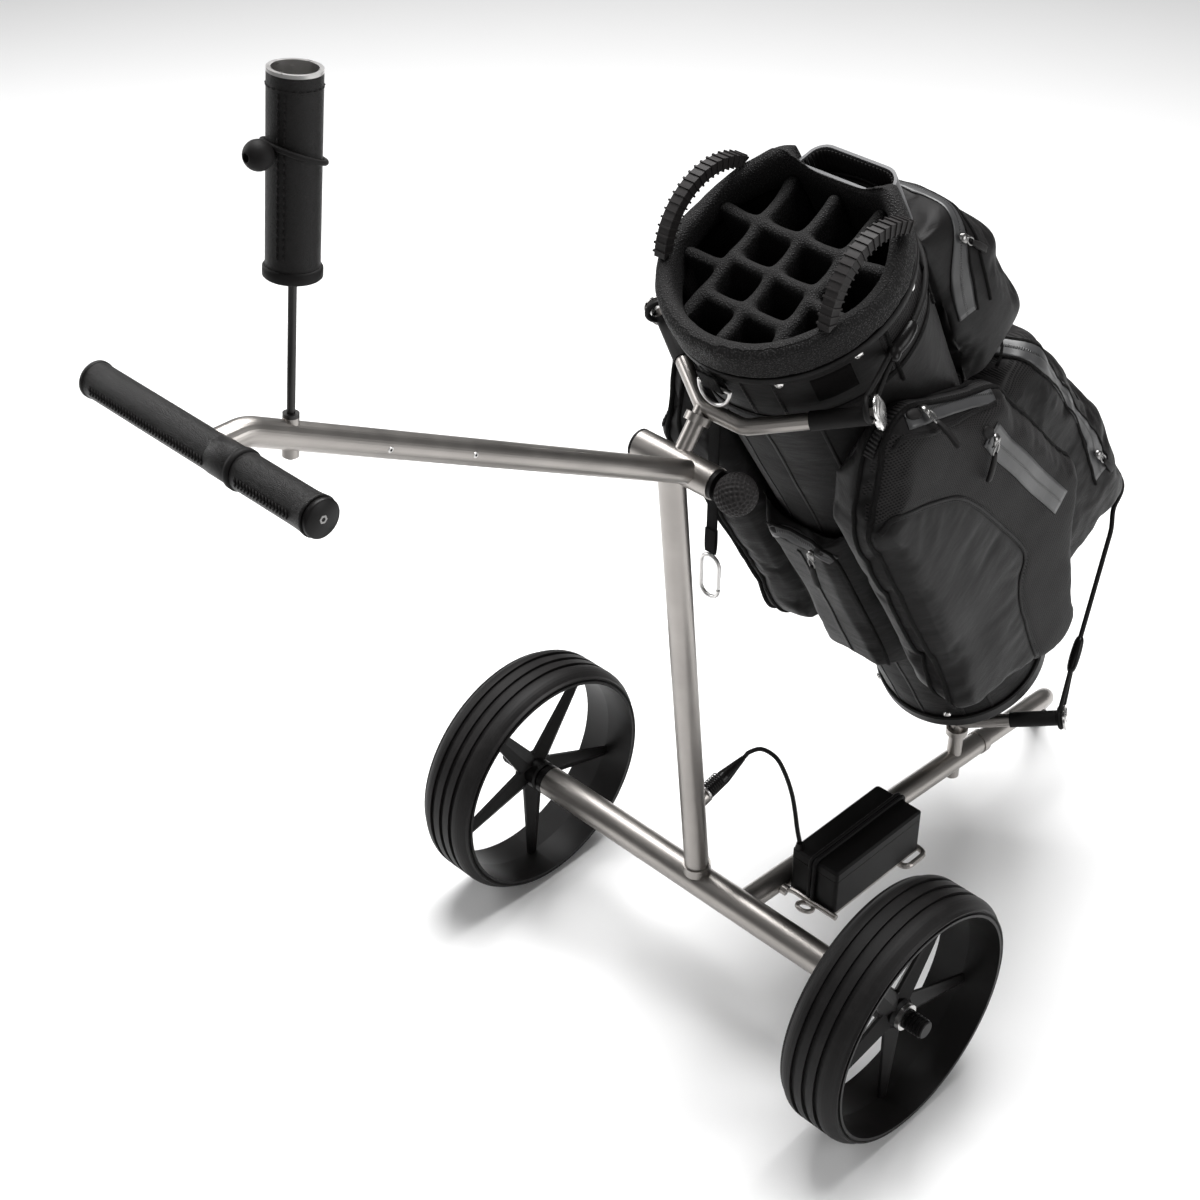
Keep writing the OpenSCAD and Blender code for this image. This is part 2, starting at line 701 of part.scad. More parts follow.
module clamp_knob() {
    face = cross_right + washer_t;
    flat = acos(-0.96); // where the flat that meets the washer cuts the ball
    arc = [for (i = [0:24]) knob_r * [sin(flat * i / 24), 0.96 + cos(flat * i / 24)]];
    color(BLACK) from_axle() translate([0, cross.y, cross.z]) along_x(face) difference() {
        rotate_extrude() polygon(concat([[0, 0]], arc));
        translate([0, 0, -1]) cylinder(r = bolt_r + FIT, h = knob_r + 2);
    }
}
module on_grip() { from_axle() translate([0, grip_mid.y, grip_mid.z]) children(); }
module grip_cover() {
    color(BLACK) difference() {
        on_grip() ring_x(grip_left + grip_collar, throttle_left - grip_collar, grip_r,
            bar_r + FIT);
        from_axle() bent_tube([handle_foot, handle_bend, grip_mid], 30, handle_r + SEAT);
    }
}
module throttle() {
    length = grip_right - grip_collar - throttle_left - 2 * FIT;
    bore = bar_r + FIT;
    color(BLACK) on_grip() along_x(throttle_left + FIT) rotate_extrude()
        polygon([[bore, 0], [grip_r, 0], [grip_r, length - throttle_flare],
            [grip_r + throttle_lip, length], [bore, length]]);
}
module grip_caps() {
    color(BLACK) on_grip() {
        ring_x(throttle_left - grip_collar, throttle_left, grip_r + 0.5, bar_r + FIT);
        for (m = [0, 1]) {
            end = m == 0 ? grip_left : grip_right;
            seat = m == 0 ? grip_left + grip_collar : grip_right - grip_collar;
            rod_x(min(end, seat), max(end, seat), grip_r);
        }
    }
}

// ---- cup holder --------------------------------------------------------------
module on_holder(up) {
    from_axle() place(holder_foot + up * holder_dir, holder_dir, [1, 0, 0]) children();
}
module holder_rod() {
    color(TITANIUM) {
        on_holder(-boss_down - 2) cylinder(r = rod_r, h = holder_rise + boss_down + 2);
        on_holder(boss_up + FIT) cylinder(r = boss_r, h = 3);
        on_holder(holder_rise - 6) cylinder(r = rod_r + 3, h = 6);
    }
}
module holder_liner() {
    inner = cup_r - cup_sleeve - cup_wall;
    color(SILVER) on_holder(holder_rise) difference() {
        union() {
            cylinder(r = cup_r - cup_sleeve, h = cup_len);
            translate([0, 0, cup_len - 2.5]) cylinder(r = cup_r, h = 2.5);
            cylinder(r = cup_r, h = 3);
        }
        translate([0, 0, 3]) cylinder(r = inner, h = cup_len);
    }
}
module holder_sleeve() {
    color(RUBBER) on_holder(holder_rise + 3) difference() {
        cylinder(r = cup_r, h = cup_len - 5.5);
        translate([0, 0, -1]) cylinder(r = cup_r - cup_sleeve + FIT, h = cup_len);
    }
}
module holder_cord() {
    up = cup_len * 0.44;
    ball_x = -(cup_r + ball_r);
    color(BLACK) on_holder(holder_rise + up) {
        rotate_extrude() translate([cup_r + elastic_r + FIT, 0]) circle(elastic_r, $fn = 24);
        translate([ball_x - 5, 0, 0]) difference() {
            sphere(ball_r);
            rotate([90, 0, 0]) cylinder(r = 3, h = 3 * ball_r, center = true);
        }
    }
}

// ---- battery -----------------------------------------------------------------
module batt_box(h, inset = 0) {
    translate([batt_x + inset, batt_y + inset, 0]) linear_extrude(h)
        rounded_plate(batt_w - 2 * inset, batt_l - 2 * inset, batt_round);
}
module battery_case() {
    color(BLACK) from_axle() translate([0, 0, batt_z]) batt_box(batt_h - lid_h - 0.6);
}
module battery_lid() {
    lid_z = batt_z + batt_h - lid_h;
    color(BLACK) from_axle() {
        translate([0, 0, lid_z - 0.6]) batt_box(0.6, 0.6);
        translate([0, 0, lid_z]) hull() {
            batt_box(lid_h - batt_round * 0.6);
            batt_box(lid_h, batt_round * 0.6);
        }
    }
}
module cable_relief() {
    top = cable_route[len(cable_route) - 1];
    base = batt_z + batt_h;
    tail = unit(cable_route[len(cable_route) - 2] - top);
    color(BLACK) from_axle() {
        translate([top.x, top.y, base]) rotate_extrude() polygon([[0, 0],
            [cable_d / 2 + 2.5, 0], [cable_d / 2 + 1, top.z - base - 1],
            [0, top.z - base - 1]]);
    }
}
module battery_shelf() {
    color(TITANIUM) from_axle() translate([0, 0, shelf_z]) linear_extrude(shelf_t)
        translate([batt_x, batt_y]) rounded_plate(batt_w, batt_l, 3);
}
// Bent wire that springs from the front tube and holds each end of the battery
module battery_brackets() {
    back = batt_y - wire_r - SEAT;
    front = batt_y + batt_l + wire_r + SEAT;
    right = batt_x + batt_w;
    drop = front_z(front) - 2;
    color(TITANIUM) from_axle() difference() {
        union() {
            swept_cord(rounded([[front_x, back - 8, front_z(back)],
                [batt_x + 10, back, wire_z], [right + 6, back, wire_z]], 8, 4), 2 * wire_r);
            place([strap_x, back - 7, wire_z - wire_r - 1], [0, 0.3, 1])
                rotate_extrude() translate([9, 0]) circle(2.6, $fn = 24);
            rod([front_x + front_r - 1, back - 6, front_z(back)],
                [front_x + front_r + 6, back - 5, front_z(back) - 1], 6);
            swept_cord(rounded([[front_x, front + 4, drop], [batt_x + 14, front, wire_z],
                [right + 8, front, wire_z - 6], [right + 8, front - 34, wire_z - 6],
                [right - 12, front - 34, shelf_z - wire_r - 1]], 7, 4), 2 * wire_r);
        }
        place(front_foot, front_dir) cylinder(r = front_r, h = front_len);
    }
}
// Two runs of elastic cord over the battery, down both ends to the wires
module battery_strap() {
    top = batt_z + batt_h + strap_d / 2;
    back = batt_y - strap_d / 2 - SEAT;
    front = batt_y + batt_l + strap_d / 2 + SEAT;
    low = wire_z + wire_r + 2;
    color(BLACK) from_axle() for (dx = [-0.5, 0.5]) {
        x = strap_x + dx * (strap_d + SEAT);
        bent_tube([[x, back, low], [x, back, top], [x, front, top], [x, front, low]],
            6, strap_d / 2);
    }
}
module battery_cable() {
    color(BLACK) from_axle() swept_cord(curve(cable_route, 4), cable_d, 8);
}
module power_socket() {
    color(TITANIUM) from_axle() difference() {
        rod(socket_mid, plug_foot, 9);
        place([mast_x, 0, 0], [0, cross.y, cross.z]) cylinder(r = mast_r, h = mast_len);
    }
}
module plug_body() {
    tail = cable_route[0] - plug_foot;
    color(BLACK) from_axle() place(plug_foot, tail) rotate_extrude() polygon([[0, FIT],
        [plug_r, FIT], [plug_r, plug_len * 0.6], [cable_d / 2 + 0.5, norm(tail)],
        [0, norm(tail)]]);
}

// ---- bag brackets --------------------------------------------------------------
// Route of a bow from its left tip to its right tip, in the bag's own frame
function bow_route(n, u) = [
    [bow_shift - bow_half, n + bow_reach, u], [bow_shift - bow_flat / 2, n, u],
    [bow_shift + bow_flat / 2, n, u], [bow_shift + bow_half, n + bow_reach, u]];
function arm_dir() = unit([bow_half - bow_flat / 2, bow_reach, 0]);
// Point on the right arm at a distance from its tip
function on_arm(n, u, back) = [bow_shift + bow_half, n + bow_reach, u] - back * arm_dir();
module both_arms() {
    translate([bow_shift, 0, 0]) for (m = [0, 1]) mirror([m, 0, 0])
        translate([-bow_shift, 0, 0]) children();
}
module bow(n, u) {
    from_bag() difference() {
        swept_cord(rounded(bow_route(n, u), bow_bend, 6), 2 * bow_r, 24);
        both_arms() place(on_arm(n, u, cap_plug + 1), arm_dir())
            cylinder(r = bow_r - bow_wall, h = cap_plug + 2);
    }
}
module sleeves_on(n, u) {
    color(RUBBER) from_bag() both_arms() place(on_arm(n, u, 62), arm_dir())
        linear_extrude(56) annulus(bow_outer, bow_r + FIT);
}
module caps_on(n, u) {
    color(SILVER) from_bag() both_arms() place(on_arm(n, u, 0), arm_dir()) {
        translate([0, 0, -cap_plug]) cylinder(r = bow_r - bow_wall - FIT, h = cap_plug);
        rotate_extrude() polygon([[0, 0], [disc_r - 2, 0], [disc_r, 2], [disc_r, 4],
            [disc_r - 3, 5.5], [0, 6]]);
    }
}
// Rubber eyes that hold a cord's ends between the sleeves and the discs
module bow_hooks(n, u) {
    from_bag() both_arms() place(on_arm(n, u, 5.6), arm_dir())
        linear_extrude(5.2) annulus(disc_r - 1, bow_r + FIT);
}
module upper_bracket() {
    color(TITANIUM) {
        bow(upper_bow_n, bow_rise);
        from_axle() {
            rod(ring_mid, bow_end, bow_r);
            rod(ring_mid - plug_joint_h / 2 * stub_dir,
                ring_mid + plug_joint_h / 2 * stub_dir, plug_joint_r);
        }
    }
}
module lower_bracket() {
    knee = bag_at([bow_shift + bow_flat / 2, lower_bow_n, 0]);
    color(TITANIUM) {
        bow(lower_bow_n, 0);
        from_axle() {
            rod([front_x, post_y, post_top], [front_x, post_y, post_top + plug_joint_h],
                plug_joint_r);
            rod([front_x, post_y, post_top + 1], knee, bow_r);
        }
    }
}
module bow_sleeves() {
    sleeves_on(upper_bow_n, bow_rise);
    sleeves_on(lower_bow_n, 0);
}
module bow_caps() {
    caps_on(upper_bow_n, bow_rise);
    caps_on(lower_bow_n, 0);
}
module upper_strap() {
    color(BLACK) {
        from_bag() swept_cord(curve(upper_cord_route, 3), cord_d, 8);
        bow_hooks(upper_bow_n, bow_rise);
    }
}
module lower_strap() {
    color(BLACK) {
        from_bag() swept_cord(curve(lower_cord_route, 3), cord_d, 8);
        bow_hooks(lower_bow_n, 0);
    }
}

// ---- bag ---------------------------------------------------------------------
inner_r = bag_top_r - bag_wall;
module bag_trunk() {
    color(CLOTH) from_bag() difference() {
        translate([0, 0, trunk_foot]) cylinder(r1 = trunk_r(trunk_foot), r2 = bag_top_r,
            h = mouth - trunk_foot);
        translate([0, 0, trunk_foot + bag_wall]) cylinder(
            r1 = trunk_r(trunk_foot) - bag_wall, r2 = inner_r, h = mouth - trunk_foot);
    }
}
// Moulded foot: drawn in below, with a seat inside for the trunk
module bag_base() {
    seat = trunk_foot - bag_floor;
    color(BLACK) from_bag() translate([0, 0, bag_floor]) difference() {
        rotate_extrude() polygon([[0, 0], [bag_foot_r - base_taper - 3, 0],
            [bag_foot_r - base_taper, 3], [bag_foot_r - 3, seat - 6],
            [bag_foot_r + 1, seat], [bag_foot_r + 1, base_h - 2],
            [bag_foot_r - 0.5, base_h], [0, base_h]]);
        translate([0, 0, seat]) cylinder(r1 = trunk_r(trunk_foot) + FIT,
            r2 = trunk_r(bag_floor + base_h + 1) + FIT, h = base_h + 1 - seat);
        translate([0, 0, bag_wall]) cylinder(r1 = bag_foot_r - base_taper - bag_wall,
            r2 = bag_foot_r - 3 - 2 * bag_wall, h = seat + 1 - bag_wall);
    }
}
module bag_collar() {
    pad = collar_h / 2;
    outer = bag_top_r + collar_out;
    color(MESH) from_bag() translate([0, 0, mouth]) difference() {
        rotate_extrude() {
            translate([inner_r - collar_in, 0]) square([outer - inner_r + collar_in,
                collar_h - 8]);
            translate([inner_r - collar_in + 8, 0]) square([outer - inner_r + collar_in - 16,
                collar_h]);
            for (r = [inner_r - collar_in + 8, outer - 8]) translate([r, collar_h - 8])
                circle(8, $fn = 32);
        }
        translate([-well_half, chord_n, -1]) cube([2 * well_half, 60, collar_h + 2]);
    }
    color(MESH) from_bag() translate([0, 0, mouth - 60]) intersection() {
        translate([-100, chord_n - divider_t, 0]) cube([200, divider_t, 60 + collar_h - 6]);
        cylinder(r = inner_r - collar_in, h = 60 + collar_h);
    }
}
// Padded divider with a round top edge, along y from y0 to y1
module divider(x, y0, y1) {
    r = divider_t / 2;
    translate([x - r, y0, 0]) cube([divider_t, y1 - y0, divider_h - r]);
    translate([x, y0, divider_h - r]) rotate([-90, 0, 0]) cylinder(r = r, h = y1 - y0);
}
module bag_dividers() {
    reach = inner_r - collar_in - FIT;
    front = chord_n - divider_t - FIT;
    mid_cross = [-60, -17, 27];
    side_cross = [-28, 27];
    color(MESH) from_bag() translate([0, 0, rim_top - divider_drop - divider_h])
        intersection() {
            union() {
                for (i = [-1:1]) divider(i * divider_pitch, -reach, front);
                for (m = [0, 1]) mirror([m, 0, 0]) {
                    for (y = mid_cross) rotate(-90) divider(-y, 0, divider_pitch);
                    for (y = side_cross) rotate(-90) divider(-y, divider_pitch, reach);
                }
            }
            translate([0, 0, -1]) cylinder(r = reach, h = divider_h + 2);
        }
}
module well_outline() {
    intersection() {
        translate([-well_half, chord_n]) square([2 * well_half, 60]);
        hull() {
            translate([-well_half, chord_n - 2]) square([2 * well_half, 1]);
            for (m = [-1, 1]) translate([m * (well_half - 24), bag_top_r + well_out - 20])
                circle(20, $fn = 32);
        }
    }
}
module putter_well() {
    depth = 60;
    low = rim_top - well_drop - depth;
    color(GREY) from_bag() translate([0, 0, low]) difference() {
        linear_extrude(depth) well_outline();
        translate([0, 0, 3]) linear_extrude(depth) offset(-3) well_outline();
        translate([0, 0, -1]) cylinder(r = bag_top_r + FIT, h = mouth - low + 1 + FIT);
    }
}
module bag_grips() {
    r = (grip_span * grip_span / 4 + grip_arch * grip_arch) / (2 * grip_arch);
    half = asin(grip_span / 2 / r);
    low = rim_top - 2;
    color(BLACK) from_bag() for (m = [-1, 1]) difference() {
        translate([m * grip_x, 8, low - r + grip_arch]) rotate([90, 0, 90])
            rotate(90 - half) {
                rotate_extrude(angle = 2 * half) translate([r, 0])
                    square([bag_grip_t - 2, bag_grip_t], center = true);
                for (i = [0:grip_ribs]) rotate(4 + i * (2 * half - 8) / grip_ribs - 0.7)
                    rotate_extrude(angle = 1.4) translate([r, 0])
                        square([bag_grip_t + 1, bag_grip_t + 2], center = true);
            }
        translate([m * grip_x - 20, -100, rim_top + FIT - 60]) cube([40, 220, 60]);
    }
}

// ---- pockets -----------------------------------------------------------------
// Flat pebble through a few round corners, [y, z, radius] each, x thick
module pebble(corners, x, thick, inset) {
    translate([x, 0, 0]) rotate([90, 0, 90]) linear_extrude(thick) hull()
        for (c = corners) translate([c[0], c[1]]) circle(c[2] - inset, $fn = 24);
}
side_corners = [[-46, 652, 42], [45, 562, 44], [98, 365, 46], [35, 170, 48],
                [-92, 246, 42], [-96, 584, 42]];
module side_pocket() {
    difference() {
        hull() {
            pebble(side_corners, side_pocket_x - 1, 1, side_round);
            pebble(side_corners, side_pocket_x - side_round, 1, 0);
            pebble(side_corners, 70, 1, 18);
        }
        trunk_clearance();
    }
}
module trunk_clearance() {
    translate([0, 0, trunk_foot]) cylinder(r1 = trunk_r(trunk_foot) + SEAT,
        r2 = bag_top_r + SEAT, h = mouth - trunk_foot);
}
module pocket_right() { color(CLOTH) from_bag() side_pocket(); }
module pocket_left() { color(CLOTH) from_bag() mirror([1, 0, 0]) side_pocket(); }
module pocket_front() {
    color(CLOTH) from_bag() difference() {
        hull() {
            for (x = [-1, 1], p = [[front_pocket_n - 34, 120], [front_pocket_n - 34, 235],
                [front_pocket_n - 58, 340], [front_pocket_n - 86, 430]])
                translate([x * (front_half - 34), p[0], p[1]]) sphere(34, $fn = 20);
            translate([-front_half, 80, 110]) cube([2 * front_half, 4, 350]);
        }
        trunk_clearance();
        side_clearance();
    }
}
module side_clearance() {
    for (m = [0, 1]) mirror([m, 0, 0]) hull() {
        pebble(side_corners, side_pocket_x + 8, 1, -SEAT);
        pebble(side_corners, front_half - 20, 1, -SEAT);
    }
}
module pocket_ball() {
    color(CLOTH) from_bag() difference() {
        hull() {
            for (x = [-1, 1], p = [[ball_pocket_n - 34, 520], [ball_pocket_n - 42, 620],
                [ball_pocket_n - 74, 695]])
                translate([x * 38, p[0], p[1]]) sphere(30, $fn = 20);
            translate([-66, 80, 490]) cube([132, 4, 250]);
        }
        trunk_clearance();
        side_clearance();
    }
}
module pocket_rear() {
    color(CLOTH) from_bag() difference() {
        hull() {
            for (x = [-34, 34], u = [250, 490])
                translate([x, -bag_top_r - rear_pocket_t + 7, u]) sphere(7, $fn = 16);
            translate([-62, -90, 228]) cube([124, 2, 280]);
        }
        trunk_clearance();
    }
}

// ---- hanging metalwork -------------------------------------------------------
web_t = 2;
ring_u = mouth - 26;
ring_at = [-6, -trunk_r(ring_u) - 3 * SEAT - web_t - ring_wire, ring_u];
tab_u = 655;
tab_side = 30; // degrees from the bag's back towards its left
tab_r = trunk_r(tab_u) + SEAT + 2 * web_t;
tab_at = [-sin(tab_side) * tab_r, -cos(tab_side) * tab_r, tab_u];
tab_end = bag_at(tab_at) - [0, 0, tab_len];
hook_top = tab_end - [0, 0, SEAT];
hook_w = 24;

// Draws its children in the bag's frame turned so that -Z hangs plumb
module plumb_at(p) { from_axle() translate(bag_at(p)) children(); }
module d_ring() {
    color(SILVER) plumb_at(ring_at) rotate([90, 0, 0]) {
        mirror([0, 1, 0]) rotate_extrude(angle = 180) translate([d_ring_r, 0])
            circle(ring_wire, $fn = 24);
        rotate([0, 90, 0]) cylinder(r = ring_wire, h = 2 * d_ring_r, center = true);
        for (m = [-1, 1]) translate([m * d_ring_r, 0, 0]) sphere(ring_wire, $fn = 24);
    }
}
// Webbing: the fold that holds the D-ring, and the tab that the carabiner hangs from
module bag_webbing() {
    fold = ring_wire + FIT * 2;
    tab_w = 14;
    color(BLACK) {
        plumb_at(ring_at) rotate([bag_lean, 0, 0]) difference() {
            translate([-12, -fold - web_t, -fold - web_t])
                cube([24, 2 * (fold + web_t), 26]);
            rotate([0, 90, 0]) cylinder(r = fold, h = 40, center = true);
        }
        from_axle() translate([tab_end.x - tab_w / 2, tab_end.y - web_t / 2, tab_end.z])
            cube([tab_w, web_t, tab_len]);
    }
}
// Wire carabiner, hung from its top with its gate on the right
module carabiner() {
    w = ring_wire;
    half = hook_w / 2;
    color(SILVER) from_axle() translate(hook_top - [0, 0, half + w])
        bent_tube([[half, 0, -10], [half, 0, half], [-half, 0, half],
            [-half, 0, -hook_len + hook_w], [half, 0, -hook_len + hook_w],
            [half, 0, -hook_len + hook_w + 12]], half - 0.5, w);
}
module carabiner_gate() {
    half = hook_w / 2;
    r = ring_wire - 0.2;
    low = -hook_len + hook_w + 12 + SEAT + r;
    color(SILVER) from_axle() translate(hook_top + [half, 0, low - half - ring_wire]) {
        sphere(r, $fn = 24);
        cylinder(r = r, h = -10 - SEAT - low);
    }
}

tyre(LEFT);  // tyre_left
tyre(RIGHT);  // tyre_right
rim(LEFT);  // rim_left
rim(RIGHT);  // rim_right
bearing(LEFT);  // bearing_left
bearing(RIGHT);  // bearing_right
drive_shaft(LEFT);  // drive_shaft_left
drive_shaft(RIGHT);  // drive_shaft_right
wheel_button(LEFT);  // wheel_button_left
wheel_button(RIGHT);  // wheel_button_right
motor(LEFT);  // motor_left
motor(RIGHT);  // motor_right
axle_tube(LEFT);  // axle_tube_left
axle_tube(RIGHT);  // axle_tube_right
fold_sleeve();
front_tube();
foot_pad();
mast();
mast_cap();
handle_tube();
clamp_washer();
clamp_knob();
clamp_bolt();
grip_cover();
throttle();
grip_caps();
holder_rod();
holder_liner();
holder_sleeve();
holder_cord();
battery_shelf();
battery_brackets();
battery_case();
battery_lid();
battery_strap();
cable_relief();
battery_cable();
plug_body();
power_socket();
upper_bracket();
bow_sleeves();
bow_caps();
upper_strap();
lower_bracket();
lower_strap();
bag_trunk();
bag_collar();
bag_dividers();
putter_well();
bag_grips();
bag_base();
bag_webbing();
pocket_right();
pocket_left();
pocket_front();
pocket_ball();
pocket_rear();
d_ring();
carabiner();
carabiner_gate();
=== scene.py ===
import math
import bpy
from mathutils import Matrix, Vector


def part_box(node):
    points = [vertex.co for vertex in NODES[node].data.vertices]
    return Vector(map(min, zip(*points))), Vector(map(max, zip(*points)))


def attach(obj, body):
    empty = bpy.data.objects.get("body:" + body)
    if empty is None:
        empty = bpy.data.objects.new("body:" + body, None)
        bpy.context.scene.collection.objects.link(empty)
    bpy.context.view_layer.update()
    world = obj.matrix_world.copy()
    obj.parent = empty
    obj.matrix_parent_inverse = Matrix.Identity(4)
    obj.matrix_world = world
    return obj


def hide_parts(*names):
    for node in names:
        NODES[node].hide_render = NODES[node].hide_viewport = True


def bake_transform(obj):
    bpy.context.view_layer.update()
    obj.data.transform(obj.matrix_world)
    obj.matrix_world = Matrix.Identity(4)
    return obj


bl_info = {
    "name": "Golf Bag on Push Cart",
    "version": (1, 0, 0),
    "blender": (4, 5, 0),
    "location": "View3D > Sidebar > Golf Cart",
    "description": "Finishes, soft goods and trimmings of a golf bag on its motorised push cart",
    "category": "Add Mesh",
}

import bmesh
import bpy
import numpy as np
from bpy.props import FloatProperty, FloatVectorProperty, IntProperty, PointerProperty
from bpy.types import Operator, Panel, PropertyGroup
from mathutils import Matrix, Vector, noise
from mathutils.bvhtree import BVHTree
from mathutils.kdtree import KDTree

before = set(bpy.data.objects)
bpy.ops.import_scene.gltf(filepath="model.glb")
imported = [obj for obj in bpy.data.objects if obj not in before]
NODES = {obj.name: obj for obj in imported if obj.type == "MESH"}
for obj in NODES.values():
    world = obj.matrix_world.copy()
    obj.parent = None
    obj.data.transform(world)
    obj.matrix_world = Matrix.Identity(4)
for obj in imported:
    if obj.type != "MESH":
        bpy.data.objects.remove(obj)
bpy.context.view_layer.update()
MM = 0.001

# The axle's middle and the bag's own frame: x to the right, y to the front, z up the bag
AXLE = Vector((0.0, -0.037345, 0.145))
BAG_LEAN = math.radians(30)
BAG_FOOT = AXLE + Vector((0.024, 0.450, 0.0645))
BAG = Matrix.Translation(BAG_FOOT) @ Matrix.Rotation(BAG_LEAN, 4, "X")
TRUNK_FOOT, MOUTH = 47.3, 774.5
FOOT_R, TOP_R = 97.0, 116.0
# The cup holder's middle, and its own up and ahead: it leans by 7 degrees with its rod
HOLDER_X, HOLDER_SLOPE = 0.0245, 0.1219
HOLDER_UP = Vector((0, 0.12187, 0.99255))
HOLDER_AHEAD = Vector((0, 0.99255, -0.12187))


def trunk_r(u):
    """Radius of the trunk at a height along the bag, in millimetres."""
    return FOOT_R + (TOP_R - FOOT_R) * (u - TRUNK_FOOT) / (MOUTH - TRUNK_FOOT)


def from_axle(x, y, z):
    """A point given in millimetres from the axle's middle, in metres."""
    return AXLE + Vector((x, y, z)) * MM


# ---- shader expressions ------------------------------------------------------
class Term:
    """A shader socket that takes part in Python expressions."""

    def __init__(self, finish, socket):
        self.finish, self.socket = finish, socket

    def math(self, operation, *others):
        return self.finish.node("Math", {"operation": operation}, dict(enumerate((self,) + others)))

    def __add__(self, other):
        return self.math("ADD", other)

    def __mul__(self, other):
        return self.math("MULTIPLY", other)

    def __sub__(self, other):
        return self.math("SUBTRACT", other)

    def __rsub__(self, other):
        return self.finish.node("Math", {"operation": "SUBTRACT"}, {0: other, 1: self})

    def __abs__(self):
        return self.math("ABSOLUTE")

    __radd__, __rmul__ = __add__, __mul__

    def sin(self):
        return self.math("SINE")

    def between(self, low, high):
        """0 below low, 1 above high, smooth between."""
        return self.finish.node("MapRange", {"interpolation_type": "SMOOTHSTEP"},
                                {"Value": self, "From Min": low, "From Max": high})


class Finish:
    """One material, built from a Principled shader and expressions."""

    def __init__(self, name, colour, rough, metal=0.0, specular=0.18):
        self.material = bpy.data.materials.new(name)
        self.material.use_nodes = True
        self.material.diffuse_color = (*colour, 1.0)
        self.tree = self.material.node_tree
        self.tree.nodes.clear()
        self.shader = self.tree.nodes.new("ShaderNodeBsdfPrincipled")
        output = self.tree.nodes.new("ShaderNodeOutputMaterial")
        self.tree.links.new(output.inputs["Surface"], self.shader.outputs["BSDF"])
        self.feed(self.shader.inputs["Base Color"], (*colour, 1.0))
        for key, value in (("Roughness", rough), ("Metallic", metal),
                           ("Specular IOR Level", specular)):
            self.shader.inputs[key].default_value = value

    def feed(self, socket, value):
        if isinstance(value, Term):
            self.tree.links.new(socket, value.socket)
        else:
            socket.default_value = value

    def node(self, kind, settings=None, values=None, out=0):
        made = self.tree.nodes.new("ShaderNode" + kind)
        for key, value in (settings or {}).items():
            setattr(made, key, value)
        for key, value in (values or {}).items():
            self.feed(made.inputs[key], value)
        return Term(self, made.outputs[out])

    def mapped(self, scale=(1, 1, 1), turn=(0, 0, 0), source="Object"):
        """Coordinates in metres, turned and then scaled."""
        raw = self.node("TexCoord", out={"Object": 3, "UV": 2}[source])
        turned = self.node("Mapping", {}, {"Vector": raw, "Rotation": turn})
        return self.node("VectorMath", {"operation": "MULTIPLY"}, {0: turned, 1: scale})

    def axes(self, vector):
        made = self.tree.nodes.new("ShaderNodeSeparateXYZ")
        self.tree.links.new(made.inputs[0], vector.socket)
        return [Term(self, o) for o in made.outputs]

    def noise(self, vector, scale, detail=3.0, rough=0.55):
        return self.node("TexNoise", {}, {"Vector": vector, "Scale": scale, "Detail": detail,
                                          "Roughness": rough})

    def cells(self, vector, scale, random=1.0, feature="F1"):
        return self.node("TexVoronoi", {"feature": feature}, {"Vector": vector, "Scale": scale,
                                                             "Randomness": random})

    def paint(self, mask, low, high, socket="Base Color"):
        """Blends two colours by a mask into the shader."""
        mix = self.tree.nodes.new("ShaderNodeMix")
        mix.data_type = "RGBA"
        self.feed(mix.inputs[0], mask)
        mix.inputs[6].default_value = (*low, 1.0)
        mix.inputs[7].default_value = (*high, 1.0)
        self.tree.links.new(self.shader.inputs[socket], mix.outputs[2])
        return self

    def rough(self, mask, low, high):
        self.feed(self.shader.inputs["Roughness"], mask * (high - low) + low)
        return self

    def bump(self, height, depth, strength=1.0):
        """depth is the height's real size in metres."""
        bumped = self.node("Bump", {}, {"Height": height * depth, "Distance": 1.0,
                                        "Strength": strength})
        self.feed(self.shader.inputs["Normal"], bumped)
        return self


TO_BAG = (-BAG_LEAN, 0.0, 0.0)


def shade(colour, times):
    return tuple(min(1.0, c * times) for c in colour)


def titanium(colour):
    f = Finish("titanium_tube", colour, 0.41, metal=1.0, specular=0.5)
    place = f.mapped()
    cloud = f.noise(place, 9.0, 4.0)
    grain = f.noise(f.mapped(scale=(900, 900, 900)), 1.0, 2.0)
    f.paint(cloud.between(0.35, 0.7), shade(colour, 0.9), shade(colour, 1.08))
    f.rough(f.noise(place, 40.0), 0.30, 0.42)
    return f.bump(grain, 0.00004, 0.5)


def moulded(name, colour, rough, pebble=1500.0, depth=0.00004):
    """Moulded plastic or rubber: faint pebble grain, worn a little paler in patches."""
    f = Finish(name, colour, rough)
    place = f.mapped()
    patch = f.noise(place, 14.0, 5.0)
    f.paint(patch.between(0.4, 0.75), colour, shade(colour, 1.5))
    f.rough(patch, rough - 0.06, rough + 0.08)
    return f.bump(f.cells(place, pebble, 1.0), depth, 0.6)


def tread(colour):
    f = Finish("tyre_rubber", colour, 0.55)
    place = f.mapped()
    scuff = f.noise(place, 30.0, 6.0, 0.7)
    f.paint(scuff.between(0.45, 0.8), colour, shade(colour, 1.9))
    f.rough(scuff, 0.46, 0.66)
    return f.bump(f.noise(place, 800.0, 2.0), 0.00006, 0.6)


def polished(name, colour, rough):
    f = Finish(name, colour, rough, metal=1.0, specular=0.5)
    smear = f.noise(f.mapped(), 40.0, 3.0)
    return f.rough(smear, rough - 0.04, rough + 0.08)


def steel(name, colour, rough):
    f = Finish(name, colour, rough, metal=1.0, specular=0.5)
    streak = f.noise(f.mapped(scale=(60, 60, 1500)), 1.0, 3.0)
    f.rough(streak, rough - 0.06, rough + 0.1)
    return f.bump(streak, 0.00002, 0.5)


